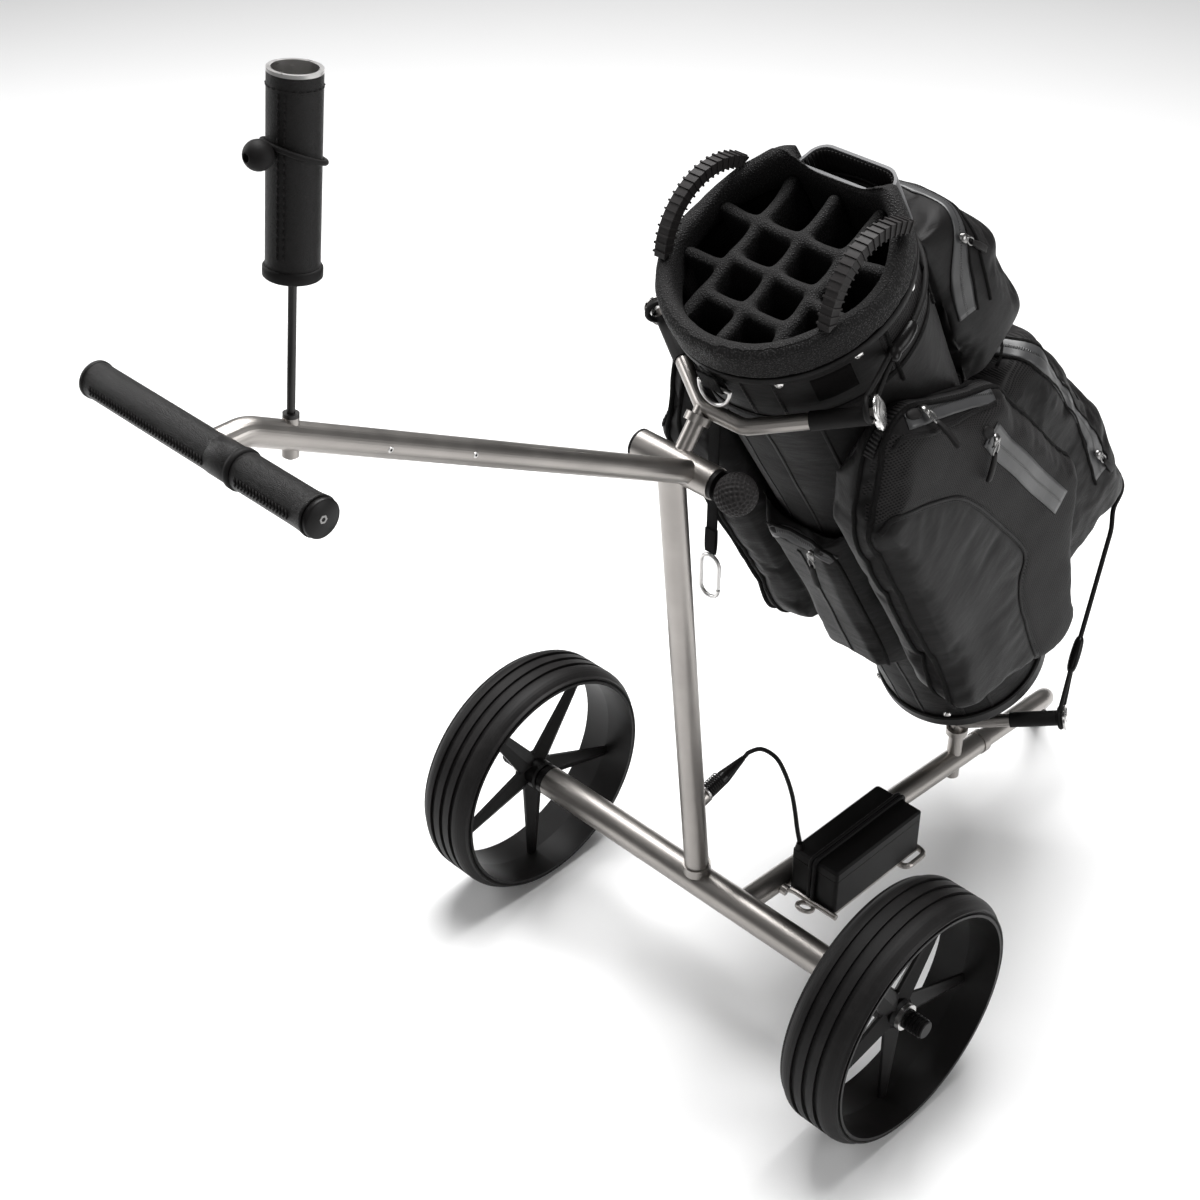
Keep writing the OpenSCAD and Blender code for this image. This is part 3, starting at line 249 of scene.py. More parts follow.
def leather(colour):
    f = Finish("black_leather", colour, 0.42, specular=0.24)
    place = f.mapped()
    grain = f.cells(place, 900.0, 1.0, "DISTANCE_TO_EDGE")
    rubbed = f.noise(place, 18.0, 4.0)
    f.paint(rubbed.between(0.42, 0.75), colour, shade(colour, 1.7))
    f.rough(rubbed, 0.34, 0.54)
    return f.bump(grain.between(0.0, 0.25) + f.noise(place, 160.0) * 0.6, 0.00018, 0.8)


def air_mesh(name, colour, pitch=0.0020):
    """Knitted spacer cloth: small holes between swollen, faintly shiny loops; the holes are painted
    darker as painted shade and the loops a little lighter as painted highlight.
    """
    f = Finish(name, colour, 0.5, specular=0.22)
    place = f.mapped(turn=TO_BAG)
    holes = f.cells(place, 1.0 / pitch, 0.85)
    loop = holes.between(0.15, 0.6)
    fine = f.noise(place, 1400.0, 2.0)
    # painted light and shade: loops lighter as painted highlight, holes darker as painted shade
    f.paint(loop, shade(colour, 1.2), shade(colour, 0.5))
    f.rough(loop, 0.42, 0.8)
    return f.bump((1 - loop) + fine * 0.2, 0.0007, 1.0)


def nylon(name, colour, crease=1.0, rough=0.5):
    """Coated pack cloth: a fine weave, soft creases and a faint sheen."""
    f = Finish(name, colour, rough, specular=0.13)
    place = f.mapped(turn=TO_BAG)
    x, y, z = f.axes(place)
    weave = ((x + y) * 5200.0).sin() * ((z - y) * 5200.0).sin()
    soft = f.noise(place, 16.0, 4.0, 0.6)
    folds = f.noise(f.mapped(scale=(10, 18, 34), turn=TO_BAG), 1.0, 3.0, 0.6)
    f.paint(soft.between(0.35, 0.75), shade(colour, 0.82), shade(colour, 1.25))
    f.rough(soft, rough - 0.08, rough + 0.1)
    return f.bump(folds * (6.0 * crease) + soft * (2.0 * crease) + weave * 0.12, 0.0004, 0.8)


def pierced(name, colour, pitch_y=0.0050, pitch_z=0.0056, round_trunk=False):
    """Pack cloth pierced with rows of fine holes, which are painted almost black as painted shade.
    """
    f = Finish(name, colour, 0.6, specular=0.13)
    place = f.mapped(turn=TO_BAG)
    x, y, z = f.axes(place)
    across = (y + x * (1.0 if round_trunk else 0.0)) * (math.tau / pitch_y)
    up = z * (math.tau / pitch_z)
    dots = across.sin() * up.sin()
    hole = abs(dots).between(0.35, 0.7)
    soft = f.noise(place, 22.0, 4.0)
    # painted shade: the holes are painted almost black for the shade inside them
    f.paint(hole, shade(colour, 1.7), shade(colour, 0.06))
    return f.bump((1 - hole) + soft * 1.5, 0.00045, 0.9)


def woven(name, colour, pitch=0.0016):
    """Webbing: a herringbone twill on the piece's own length and width, its grooves painted darker
    as painted shade and its ridges lighter as painted highlight.
    """
    f = Finish(name, colour, 0.75, specular=0.12)
    u, v, _ = f.axes(f.mapped(source="UV"))
    rib = ((u + abs(v)) * (math.tau / pitch)).sin()
    # painted shade in the twill's grooves and painted highlight on its ridges
    f.paint(rib.between(-0.6, 0.8), shade(colour, 0.5), shade(colour, 1.6))
    return f.bump(rib, 0.00025, 0.9)


def braid(name, colour, pitch=0.0022):
    """Braided sleeve of an elastic cord, on the cord's own length and turn; the braid's dips are
    painted darker as painted shade and its crests lighter as painted highlight.
    """
    f = Finish(name, colour, 0.6)
    u, v, _ = f.axes(f.mapped(source="UV"))
    run, round_it = u * (math.tau / pitch), v * (2 * math.tau)
    cross = (run + round_it).sin() * (run - round_it).sin()
    # painted shade in the braid's dips and painted highlight on its crests
    f.paint(cross.between(-0.5, 0.6), shade(colour, 0.6), shade(colour, 1.6))
    return f.bump(cross, 0.0002, 0.8)


def taped(name, colour):
    """Sealed zip tape: two smooth bands with a ribbed line of teeth between them."""
    f = Finish(name, colour, 0.4, specular=0.5)
    u, v, _ = f.axes(f.mapped(source="UV"))
    teeth = (u * (math.tau / 0.0026)).sin()
    middle = 1 - abs(v).between(0.0006, 0.0022)
    band = abs(v).between(0.0105, 0.0115)
    soft = f.noise(f.mapped(turn=TO_BAG), 60.0, 4.0)
    f.paint(middle + band * 0.6, shade(colour, 1.0), shade(colour, 0.25))
    f.rough(soft, 0.3, 0.5)
    return f.bump(teeth * middle * 0.8 + middle + soft * 1.2, 0.00035, 0.8)


def coiled(name, colour):
    """Ribbed gusset tape, ribs across its length; the grooves are painted darker as painted shade
    and the rib tops lighter as painted highlight.
    """
    f = Finish(name, colour, 0.6)
    u, _, _ = f.axes(f.mapped(source="UV"))
    ribs = (u * (math.tau / 0.0042)).sin()
    # painted shade between the ribs and painted highlight on their tops
    f.paint(ribs.between(-0.7, 0.7), shade(colour, 0.35), shade(colour, 1.5))
    return f.bump(ribs, 0.0006, 0.9)


def hooked(name, colour):
    """Loop tape: a dense fuzz."""
    f = Finish(name, colour, 0.95, specular=0.06)
    fuzz = f.noise(f.mapped(), 1900.0, 4.0, 0.8)
    f.paint(fuzz.between(0.3, 0.7), shade(colour, 0.4), shade(colour, 1.8))
    return f.bump(fuzz, 0.0006, 0.9)


def ground(colour):
    f = Finish("pale_floor", colour, 0.75, specular=0.2)
    f.paint(f.noise(f.mapped(), 1.3, 3.0).between(0.3, 0.7), shade(colour, 0.985), colour)
    return f


FINISHES = {}


def finish(name):
    """The scene's materials, made once each from the colours in the panel."""
    if not FINISHES:
        c = bpy.context.scene.cart_colours
        black, cloth, mesh = tuple(c.plastic), tuple(c.cloth), tuple(c.mesh)
        FINISHES.update(
            titanium=titanium(tuple(c.titanium)), tyre=tread(tuple(c.rubber)),
            rubber=moulded("soft_rubber", tuple(c.rubber), 0.6),
            plastic=moulded("moulded_plastic", black, 0.42),
            pale_rubber=moulded("grip_rubber", shade(tuple(c.rubber), 2.6), 0.5),
            gloss=moulded("glossy_plastic", black, 0.26, 700.0, 0.00001),
            case=moulded("battery_shell", shade(black, 0.9), 0.52, 1100.0, 0.00008),
            graphite=steel("graphite_rod", shade(tuple(c.steel), 0.09), 0.36),
            grey=moulded("grey_plastic", tuple(c.grey), 0.38),
            steel=steel("brushed_steel", tuple(c.steel), 0.28),
            bright=polished("polished_metal", shade(tuple(c.steel), 1.2), 0.2),
            gunmetal=steel("gunmetal", shade(tuple(c.steel), 0.42), 0.26),
            leather=leather(tuple(c.leather)), collar=air_mesh("collar_mesh", mesh),
            divider=air_mesh("divider_mesh", shade(mesh, 0.8), 0.0018),
            cloth=nylon("pack_cloth", cloth), smooth=nylon("smooth_cloth", shade(cloth, 0.9), 0.5),
            dull=nylon("dull_cloth", shade(cloth, 0.55), 0.8, 0.62),
            dots=pierced("pierced_cloth", mesh),
            ribbed=pierced("banded_cloth", mesh, 0.0046, 0.0080, True),
            webbing=woven("webbing", black), cord=braid("elastic_cord", black),
            cable=moulded("cable_jacket", shade(black, 0.9), 0.5, 2500.0, 0.00002),
            tape=taped("sealed_zip", shade(tuple(c.grey), 0.36)),
            gusset=coiled("ribbed_gusset", shade(cloth, 0.9)),
            loop=hooked("loop_tape", shade(black, 0.8)), piping=woven("piping", shade(black, 1.2)),
            thread=moulded("thread", shade(black, 1.6), 0.7), floor=ground(tuple(c.floor)))
    return FINISHES[name].material


# ---- shapes ------------------------------------------------------------------
def piece(name, bm, body, look, replaces=(), place=None, smooth=True, levels=0,
          thick=0.0):
    """Puts a finished mesh on its body. place turns local metres into the shared frame."""
    if place is not None:
        bmesh.ops.transform(bm, matrix=place, verts=bm.verts)
    bmesh.ops.recalc_face_normals(bm, faces=bm.faces)
    mesh = bpy.data.meshes.new(name)
    bm.to_mesh(mesh)
    bm.free()
    for polygon in mesh.polygons:
        polygon.use_smooth = smooth
    obj = bpy.data.objects.new(name, mesh)
    bpy.context.scene.collection.objects.link(obj)
    looks = look if isinstance(look, (list, tuple)) else [look]
    for each in looks:
        mesh.materials.append(finish(each))
    if thick:
        wall = obj.modifiers.new("Wall", "SOLIDIFY")
        wall.thickness, wall.offset = thick, 1.0
    if levels:
        rounding = obj.modifiers.new("Round", "SUBSURF")
        rounding.levels = rounding.render_levels = levels
    if body:
        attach(obj, body)
    if replaces:
        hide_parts(*replaces)
    return obj


def smooth_route(points, step, closed=False):
    """A Catmull-Rom curve through the points, at even steps."""
    p = [Vector(q) for q in points]
    n = len(p)
    dense = []
    spans = n if closed else n - 1
    for i in range(spans):
        a, b, c, d = ((p[(i + k) % n] if closed else p[max(0, min(n - 1, i + k))])
                      for k in (-1, 0, 1, 2))
        for k in range(12):
            t = k / 12
            dense.append(0.5 * (2 * b + (c - a) * t + (2 * a - 5 * b + 4 * c - d) * t * t
                                + (3 * b - 3 * c + d - a) * t ** 3))
    dense.append(p[0] if closed else p[-1])
    lengths = np.cumsum([0.0] + [(b - a).length for a, b in zip(dense, dense[1:])])
    count = max(2, round(lengths[-1] / step))
    flat = np.array(dense)
    marks = np.linspace(0, lengths[-1], count + 1)
    even = [Vector([float(np.interp(m, lengths, flat[:, k])) for k in range(len(p[0]))])
            for m in marks]
    return even[:-1] if closed else even


def headings(route, closed=False):
    n = len(route)
    return [((route[(i + 1) % n] if closed else route[min(n - 1, i + 1)])
             - (route[i - 1] if closed else route[max(0, i - 1)])).normalized()
            for i in range(n)]


def carried(route, closed=False):
    """Side directions carried along a route without twist."""
    ways = headings(route, closed)
    side = ways[0].orthogonal().normalized()
    sides = []
    for way in ways:
        side = (side - way * side.dot(way)).normalized()
        sides.append(side)
    return sides


def rolled(route, section, ups=None, closed=False, capped=True, scale=None):
    """A grid rolled round a route: section is the closed outline, as (side, up) in metres.
    Its UV holds the length along the route and the way round."""
    n, k = len(route), len(section)
    rows = n + 1 if closed else n
    ways = headings(route, closed)
    ups = ups or carried(route, closed)
    bm = bmesh.new()
    bmesh.ops.create_grid(bm, x_segments=k, y_segments=rows - 1, size=1.0)
    bm.verts.ensure_lookup_table()
    layer = bm.loops.layers.uv.new("Length")
    run = [0.0]
    for i in range(1, rows):
        run.append(run[-1] + (route[i % n] - route[i - 1]).length)
    spot = {}
    for v in bm.verts:
        spot[v] = (round((v.co.y + 1) / 2 * (rows - 1)), round((v.co.x + 1) / 2 * k))
    for face in bm.faces:
        for loop in face.loops:
            i, j = spot[loop.vert]
            loop[layer].uv = (run[i], j / k)
    for v, (i, j) in spot.items():
        way, up = ways[i % n], ups[i % n]
        up = (up - way * up.dot(way)).normalized()
        side = way.cross(up)
        s, t = section[j % k]
        grow = scale[i % n] if scale else 1.0
        v.co = route[i % n] + side * (s * grow) + up * (t * grow)
    bmesh.ops.remove_doubles(bm, verts=bm.verts, dist=1e-6)
    if capped and not closed:
        bmesh.ops.holes_fill(bm, edges=[e for e in bm.edges if e.is_boundary], sides=0)
    return bm


def circle(r, sides=10, flat=1.0):
    return [(r * math.cos(math.tau * i / sides), r * flat * math.sin(math.tau * i / sides))
            for i in range(sides)]


def bar(width, thick, lift=0.0, soft=0.25):
    """Section of a flat strip with eased edges, lying on its route."""
    w, e = width / 2, min(thick, width) * soft
    return [(-w + e, lift), (w - e, lift), (w, lift + e), (w, lift + thick - e),
            (w - e, lift + thick), (-w + e, lift + thick), (-w, lift + thick - e), (-w, lift + e)]


def revolved(profile, steps=48, place=None, turn=math.tau):
    """A profile of (radius, height) in metres spun about Z."""
    bm = bmesh.new()
    verts = [bm.verts.new((r, 0.0, h)) for r, h in profile]
    edges = [bm.edges.new(pair) for pair in zip(verts, verts[1:])]
    bmesh.ops.spin(bm, geom=verts + edges, cent=(0, 0, 0), axis=(0, 0, 1), angle=turn,
                   steps=steps, use_merge=turn > 6.28)
    bmesh.ops.remove_doubles(bm, verts=bm.verts, dist=1e-6)
    if place is not None:
        bmesh.ops.transform(bm, matrix=place, verts=bm.verts)
    return bm


def joined(shapes):
    """Several meshes as one."""
    whole = bmesh.new()
    whole.loops.layers.uv.new("Length")
    for bm in shapes:
        mesh = bpy.data.meshes.new("part")
        bm.to_mesh(mesh)
        bm.free()
        whole.from_mesh(mesh)
        bpy.data.meshes.remove(mesh)
    return whole


def aimed(at, way, up=None):
    """Matrix that puts +Z along way at a point."""
    z = Vector(way).normalized()
    x = Vector(up) if up is not None else z.orthogonal()
    x = (x - z * x.dot(z)).normalized()
    y = z.cross(x)
    return Matrix(((x.x, y.x, z.x, at[0]), (x.y, y.y, z.y, at[1]), (x.z, y.z, z.z, at[2]),
                   (0, 0, 0, 1)))


def solid_copy(node):
    """The CAD node's mesh in the bag's frame, with its doubles merged."""
    bm = bmesh.new()
    bm.from_mesh(NODES[node].data)
    bmesh.ops.remove_doubles(bm, verts=bm.verts, dist=1e-5)
    bmesh.ops.transform(bm, matrix=BAG.inverted(), verts=bm.verts)
    bmesh.ops.recalc_face_normals(bm, faces=bm.faces)
    return bm


def applied(obj):
    """The object's mesh with its modifiers in it."""
    graph = bpy.context.evaluated_depsgraph_get()
    return bpy.data.meshes.new_from_object(obj.evaluated_get(graph), depsgraph=graph)


def co_array(mesh):
    co = np.zeros(len(mesh.vertices) * 3, np.float64)
    mesh.vertices.foreach_get("co", co)
    return co.reshape(-1, 3)


def normal_array(mesh):
    n = np.zeros(len(mesh.vertices) * 3, np.float32)
    mesh.vertices.foreach_get("normal", n)
    return n.reshape(-1, 3).astype(float)


def set_co(mesh, co):
    mesh.vertices.foreach_set("co", co.astype(np.float32).ravel())
    mesh.update()


def remeshed(bm, voxel, eased=4):
    """The solid as an even skin of small quads, eased at its edges."""
    mesh = bpy.data.meshes.new("skin")
    bm.to_mesh(mesh)
    bm.free()
    obj = bpy.data.objects.new("skin", mesh)
    bpy.context.scene.collection.objects.link(obj)
    again = obj.modifiers.new("Remesh", "REMESH")
    again.mode, again.voxel_size = "VOXEL", voxel
    if eased:
        ease = obj.modifiers.new("Ease", "SMOOTH")
        ease.factor, ease.iterations = 0.5, eased
    skin = applied(obj)
    bpy.data.objects.remove(obj)
    bpy.data.meshes.remove(mesh)
    return skin


def puffed(skin, draw_in, pressure, cap, stiff=15.0):
    """Draws a skin in, blows it up as cloth and holds each point within the cap."""
    rest = co_array(skin)
    start = rest - normal_array(skin) * draw_in
    set_co(skin, start)
    obj = bpy.data.objects.new("blown", skin)
    bpy.context.scene.collection.objects.link(obj)
    cloth = obj.modifiers.new("Cloth", "CLOTH")
    s = cloth.settings
    s.quality, s.mass, s.tension_stiffness, s.compression_stiffness = 4, 0.3, stiff, stiff
    s.shear_stiffness, s.bending_stiffness = 5.0, 0.6
    s.use_pressure, s.uniform_pressure_force = True, pressure
    s.effector_weights.gravity = 0.0
    cloth.collision_settings.use_collision = False
    for moment in range(1, 21):
        bpy.context.scene.frame_set(moment)
    blown = applied(obj)
    moved = co_array(blown) - start
    far = np.linalg.norm(moved, axis=1, keepdims=True)
    set_co(blown, start + moved * np.minimum(1.0, cap / np.maximum(far, 1e-9)))
    bpy.context.scene.frame_set(1)
    bpy.data.objects.remove(obj)
    return blown


def surface(obj):
    """A search tree over the finished piece, in the shared frame."""
    graph = bpy.context.evaluated_depsgraph_get()
    return BVHTree.FromObject(obj, graph)


def laid(tree, route, lift=0.0, reach=0.05):
    """A route in bag millimetres laid on a surface: points and outward normals, in metres."""
    points, ups = [], []
    for q in route:
        at, normal, _, _ = tree.find_nearest(BAG @ (Vector(q) * MM), reach)
        if at is None:
            raise RuntimeError(f"nothing to lie on near {tuple(q)}")
        ups.append(normal)
        points.append(at + normal * lift)
    eased = [(ups[max(0, i - 1)] + ups[i] * 2 + ups[min(len(ups) - 1, i + 1)]).normalized()
             for i in range(len(ups))]
    return points, eased


def strip_on(tree, route, width, thick, lift=0.0, step=5.0, closed=False, section=None):
    """A flat strip along a route of bag millimetres, on a surface."""
    points, ups = laid(tree, smooth_route(route, step, closed), lift)
    return rolled(points, section or bar(width, thick), ups, closed)


def patch_on(tree, route, width, rows, step=6.0, lift=0.0004, ease=2):
    """A wide strip whose every point lies on the surface. UV: length and way across."""
    line = smooth_route(route, step)
    points, ups = laid(tree, line)
    ways = headings(points)
    bm = bmesh.new()
    n = len(points)
    bmesh.ops.create_grid(bm, x_segments=rows, y_segments=n - 1, size=1.0)
    layer = bm.loops.layers.uv.new("Length")
    run = np.cumsum([0.0] + [(b - a).length for a, b in zip(points, points[1:])])
    spot = {v: (round((v.co.y + 1) / 2 * (n - 1)), (v.co.x) / 2) for v in bm.verts}
    for face in bm.faces:
        for loop in face.loops:
            i, j = spot[loop.vert]
            loop[layer].uv = (run[i], j * width)
    for v, (i, j) in spot.items():
        side = ways[i].cross(ups[i]).normalized()
        at, normal, _, _ = tree.find_nearest(points[i] + side * (j * width), 0.05)
        v.co = (at + normal * lift) if at is not None else points[i] + side * (j * width)
    for _ in range(ease):
        bmesh.ops.smooth_vert(bm, verts=[v for v in bm.verts if not v.is_boundary], factor=0.3,
                              use_axis_x=True, use_axis_y=True, use_axis_z=True)
    return bm


def on_bag(node, name, look, voxel, draw_in=0.0, pressure=4.0, cap=0.006, eased=4,
           levels=1, shape=None, rule=None):
    """A soft piece grown from the solid that it stands for. shape moves its points (bag metres),
    rule picks the material of each face."""
    skin = remeshed(solid_copy(node), voxel, eased)
    if draw_in:
        skin = puffed(skin, draw_in, pressure, cap)
    if shape is not None:
        co, normals = co_array(skin), normal_array(skin)
        for i, (p, n) in enumerate(zip(co, normals)):
            move = shape(Vector(p) * 1000, Vector(n))
            if move is not None:
                co[i] += np.array(move) * MM
        set_co(skin, co)
    bm = bmesh.new()
    bm.from_mesh(skin)
    bpy.data.meshes.remove(skin)
    if rule is not None:
        for face in bm.faces:
            face.material_index = rule(face.calc_center_median() * 1000, face.normal)
    return piece(name, bm, "bag", look, (node,), BAG, levels=levels)


def wobble(p, size, seed=0.0):
    return noise.noise(Vector(p) / size + Vector((seed, seed * 1.7, -seed)))


def inside(point, outline):
    """Whether a flat point lies in a closed outline."""
    x, y = point
    hit = False
    for (ax, ay), (bx, by) in zip(outline, outline[1:] + outline[:1]):
        if (ay > y) != (by > y) and x < (bx - ax) * (y - ay) / (by - ay) + ax:
            hit = not hit
    return hit


def dome(at, way, r, h, steps=20):
    """A rivet's or screw's head."""
    arc = [(r * math.cos(a), h * math.sin(a)) for a in np.linspace(0, math.pi / 2, 6)]
    arc[-1] = (0.0, h)
    return revolved([(r, -h)] + arc, steps, aimed(at, way))


def stitched(points, ups, length=0.004, gap=0.002, r=0.0004):
    """A row of short thread stitches along laid points."""
    run = np.cumsum([0.0] + [(b - a).length for a, b in zip(points, points[1:])])
    shapes = []
    at = gap
    flat, up = np.array(points), np.array(ups)

    def spot(m):
        p = Vector([float(np.interp(m, run, flat[:, k])) for k in range(3)])
        u = Vector([float(np.interp(m, run, up[:, k])) for k in range(3)])
        return p, u.normalized()

    while at + length < run[-1]:
        (a, ua), (b, ub) = spot(at), spot(at + length)
        mid = (a + b) / 2 + (ua + ub).normalized() * r
        shapes.append(rolled([a, mid, b], circle(r, 5), [ua, ua, ub]))
        at += length + gap
    return joined(shapes)


def puller(at, down, out, length=0.046):
    """Zip slider with its wire loop and rubber tab, hanging along down from a point."""
    down, out = Vector(down).normalized(), Vector(out).normalized()
    side = down.cross(out).normalized()
    slider = rolled([at - down * 0.006 + out * 0.001, at - down * 0.002 + out * 0.0035,
                     at + down * 0.004 + out * 0.0035, at + down * 0.008 + out * 0.001],
                    bar(0.009, 0.003), [out] * 4, scale=[0.55, 1.0, 0.9, 0.5])
    loop = [at + down * 0.002 + out * 0.006, at + down * 0.006 + side * 0.003 + out * 0.006,
            at + down * 0.014 + side * 0.003 + out * 0.005, at + down * 0.017 + out * 0.005,
            at + down * 0.014 - side * 0.003 + out * 0.005,
            at + down * 0.006 - side * 0.003 + out * 0.006]
    ring = rolled(smooth_route(loop, 0.0015, True), circle(0.0009, 8), closed=True)
    tab = smooth_route([at + down * 0.014 + out * 0.005, at + down * 0.03 + out * 0.005,
                        at + down * length + out * 0.003], 0.004)
    n = len(tab)
    grip = rolled(tab, bar(0.0072, 0.0042, -0.002), [out] * n,
                  scale=[0.7 + 0.3 * min(1.0, 3 * i / n) for i in range(n)])
    return joined([slider, ring]), grip


def zip_set(name, tree, route, width, body_at, down):
    """Sealed zip tape along a route with its puller at one place, all in bag millimetres."""
    piece(name + "_tape", patch_on(tree, route, width * MM, 6), "bag", "tape",
          thick=0.0006)
    at, normal, _, _ = tree.find_nearest(BAG @ (Vector(body_at) * MM), 0.06)
    way = (BAG.to_3x3() @ Vector(down)).normalized()
    slider, grip = puller(at + normal * 0.002, way - normal * way.dot(normal), normal)
    piece(name + "_slider", slider, "bag", "gunmetal")
    piece(name + "_pull_tab", grip, "bag", "rubber")


# ---- settings ----------------------------------------------------------------
def colour(name, text, value):
    return FloatVectorProperty(name=name, description=text, default=value, size=3, min=0.0,
                               max=1.0, subtype="COLOR")


class CartColours(PropertyGroup):
    titanium: colour("Titanium", "Reflectance of the satin tubes", (0.345, 0.325, 0.308))
    rubber: colour("Rubber", "Colour of tyres, sleeves and foot", (0.0066, 0.0060, 0.0060))
    plastic: colour("Plastic", "Colour of the black mouldings", (0.0052, 0.0047, 0.0047))
    leather: colour("Leather", "Colour of the grip and the cup sleeve", (0.0056, 0.0050, 0.0049))
    cloth: colour("Pack cloth", "Colour of the bag's smooth cloth", (0.0068, 0.0062, 0.0063))
    mesh: colour("Mesh cloth", "Colour of the bag's knitted and pierced cloth",
                 (0.0100, 0.0093, 0.0094))
    grey: colour("Grey plastic", "Colour of the putter well's rim", (0.10, 0.10, 0.103))
    steel: colour("Steel", "Reflectance of the bare metal parts", (0.62, 0.61, 0.60))
    floor: colour("Floor", "Colour of the studio floor", (0.90, 0.90, 0.90))


class CartSizes(PropertyGroup):
    pocket_voxel: FloatProperty(name="Pocket detail", description="Size of the faces that the "
                                "pockets' cloth is made of", default=0.0052, unit="LENGTH")
    pad_voxel: FloatProperty(name="Padding detail", description="Size of the faces that the "
                             "collar and the dividers are made of", default=0.0036,
                             unit="LENGTH")
    puff: FloatProperty(name="Pocket fill", description="Pressure that fills the pockets",
                        default=4.0)
    divider_dip: FloatProperty(name="Divider dip", description="How far a divider's top sinks "
                               "between two junctions", default=0.0016, unit="LENGTH")
    dimples: IntProperty(name="Knob dimples", description="Dimples on the clamp knob",
                         default=252)
    piping: FloatProperty(name="Piping", description="Diameter of the pockets' piping",
                          default=0.0058, unit="LENGTH")


class Maker:
    bl_options = {"REGISTER", "UNDO"}


# ---- stage and cable ---------------------------------------------------------
# The camera: its lens and sensor in millimetres, its place and its axes in the room
LENS, SENSOR = 63.506, 36.0
CAMERA_PLACE = (1.12833, -1.33440, 1.77971)
CAMERA_RIGHT = Vector((0.70993177, 0.70427046, 0.0))
CAMERA_DOWN = Vector((0.41448708, -0.41781571, -0.80847417))
CAMERA_AHEAD = Vector((-0.5693833, 0.57396268, -0.58853165))
# The studio: half the floor, the world's light, and each lamp's place, side and power
FLOOR_HALF, WORLD_LIGHT = 14.0, 0.12
LAMP_AIM = Vector((0.0, 0.05, 0.6))
LAMPS = (("top_box", (-0.5, 0.6, 3.2), 2.2, 195.0), ("left_box", (-2.9, -0.9, 1.7), 1.6, 38.0),
         ("front_box", (1.2, -3.0, 2.2), 1.4, 10.0), ("right_box", (3.0, 0.8, 1.5), 1.6, 36.0))


class CART_OT_stage(Maker, Operator):
    """Camera, floor and soft studio lights"""
    bl_idname = "cart.stage"
    bl_label = "Stage"

    def execute(self, context):
        scene = context.scene
        lens = bpy.data.cameras.new("camera")
        lens.sensor_width, lens.lens = SENSOR, LENS
        lens.clip_start, lens.clip_end = 0.05, 60.0
        camera = bpy.data.objects.new("camera", lens)
        scene.collection.objects.link(camera)
        place = Matrix.Identity(4)
        for k, axis in enumerate((CAMERA_RIGHT, -CAMERA_DOWN, -CAMERA_AHEAD)):
            place.col[k][:3] = axis
        place.col[3][:3] = CAMERA_PLACE
        camera.matrix_world = place
        scene.camera = camera

        bm = bmesh.new()
        bmesh.ops.create_grid(bm, x_segments=4, y_segments=4, size=FLOOR_HALF)
        mesh = bpy.data.meshes.new("floor")
        bm.to_mesh(mesh)
        bm.free()
        mesh.materials.append(finish("floor"))
        floor = bpy.data.objects.new("floor", mesh)
        scene.collection.objects.link(floor)

        world = bpy.data.worlds.new("studio")
        world.use_nodes = True
        sky = world.node_tree.nodes["Background"]
        sky.inputs["Color"].default_value = (1.0, 1.0, 1.0, 1.0)
        sky.inputs["Strength"].default_value = WORLD_LIGHT
        scene.world = world
        for name, spot, size, power in LAMPS:
            lamp = bpy.data.lights.new(name, "AREA")
            lamp.shape, lamp.size, lamp.energy = "SQUARE", size, power
            light = bpy.data.objects.new(name, lamp)
            light.location = spot
            light.rotation_mode = "QUATERNION"
            light.rotation_quaternion = (LAMP_AIM - Vector(spot)).to_track_quat("-Z", "Y")
            scene.collection.objects.link(light)
        scene.view_settings.view_transform = "Standard"
        return {"FINISHED"}


# From the axle's middle, in millimetres: out of the plug's relief and down to the battery
CABLE_R = 0.0025
CABLE_ROUTE = [(-5.5, 68, 134.5), (-5.5, 72, 135.5), (-5.5, 78, 137), (2, 90, 138.5),
               (18, 96, 132), (33, 95, 118), (46, 92, 100), (57, 86, 84), (67, 79, 70),
               (75, 75, 58)]


class CART_OT_battery_cable(Maker, Operator):
    """Cable from the plug on the mast down to the battery"""
    bl_idname = "cart.battery_cable"
    bl_label = "Battery Cable"

    def execute(self, context):
        route = smooth_route([from_axle(*p) for p in CABLE_ROUTE], 0.004)
        cable = piece("battery_lead", rolled(route, circle(CABLE_R, 16)), None, "cable",
                      ("battery_cable",))
        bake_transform(cable)
        return {"FINISHED"}


# ---- cart --------------------------------------------------------------------
LOOKS = {
    "titanium": ("axle_tube_left", "axle_tube_right", "front_tube", "mast", "handle_tube",
                 "battery_shelf", "battery_brackets", "upper_bracket", "lower_bracket",
                 "power_socket"),
    "tyre": ("tyre_left", "tyre_right"),
    "plastic": ("rim_left", "rim_right", "motor_left", "motor_right", "wheel_button_left",
                "wheel_button_right", "mast_cap", "clamp_washer", "fold_sleeve",
                "bag_base", "grip_caps"),
    "gloss": ("plug_body", "cable_relief"),
    "case": ("battery_case", "battery_lid"),
    "rubber": ("foot_pad", "bow_sleeves"),
    "pale_rubber": ("bag_grips",),
    "cord": ("battery_strap",),
    "leather": ("grip_cover", "throttle", "holder_sleeve"),
    "steel": ("holder_liner", "bearing_left", "bearing_right", "drive_shaft_left",
              "drive_shaft_right", "clamp_bolt", "carabiner", "carabiner_gate", "d_ring"),
    "bright": ("bow_caps",),
    "grey": ("putter_well",),
    "graphite": ("holder_rod",),
}


class CART_OT_cart_finishes(Maker, Operator):
    """Metal, rubber, plastic and leather on the cart's own parts"""
    bl_idname = "cart.cart_finishes"
    bl_label = "Cart Finishes"

    def execute(self, context):
        for look, nodes in LOOKS.items():
            for name in nodes:
                data = NODES[name].data
                data.materials.clear()
                data.materials.append(finish(look))
        return {"FINISHED"}


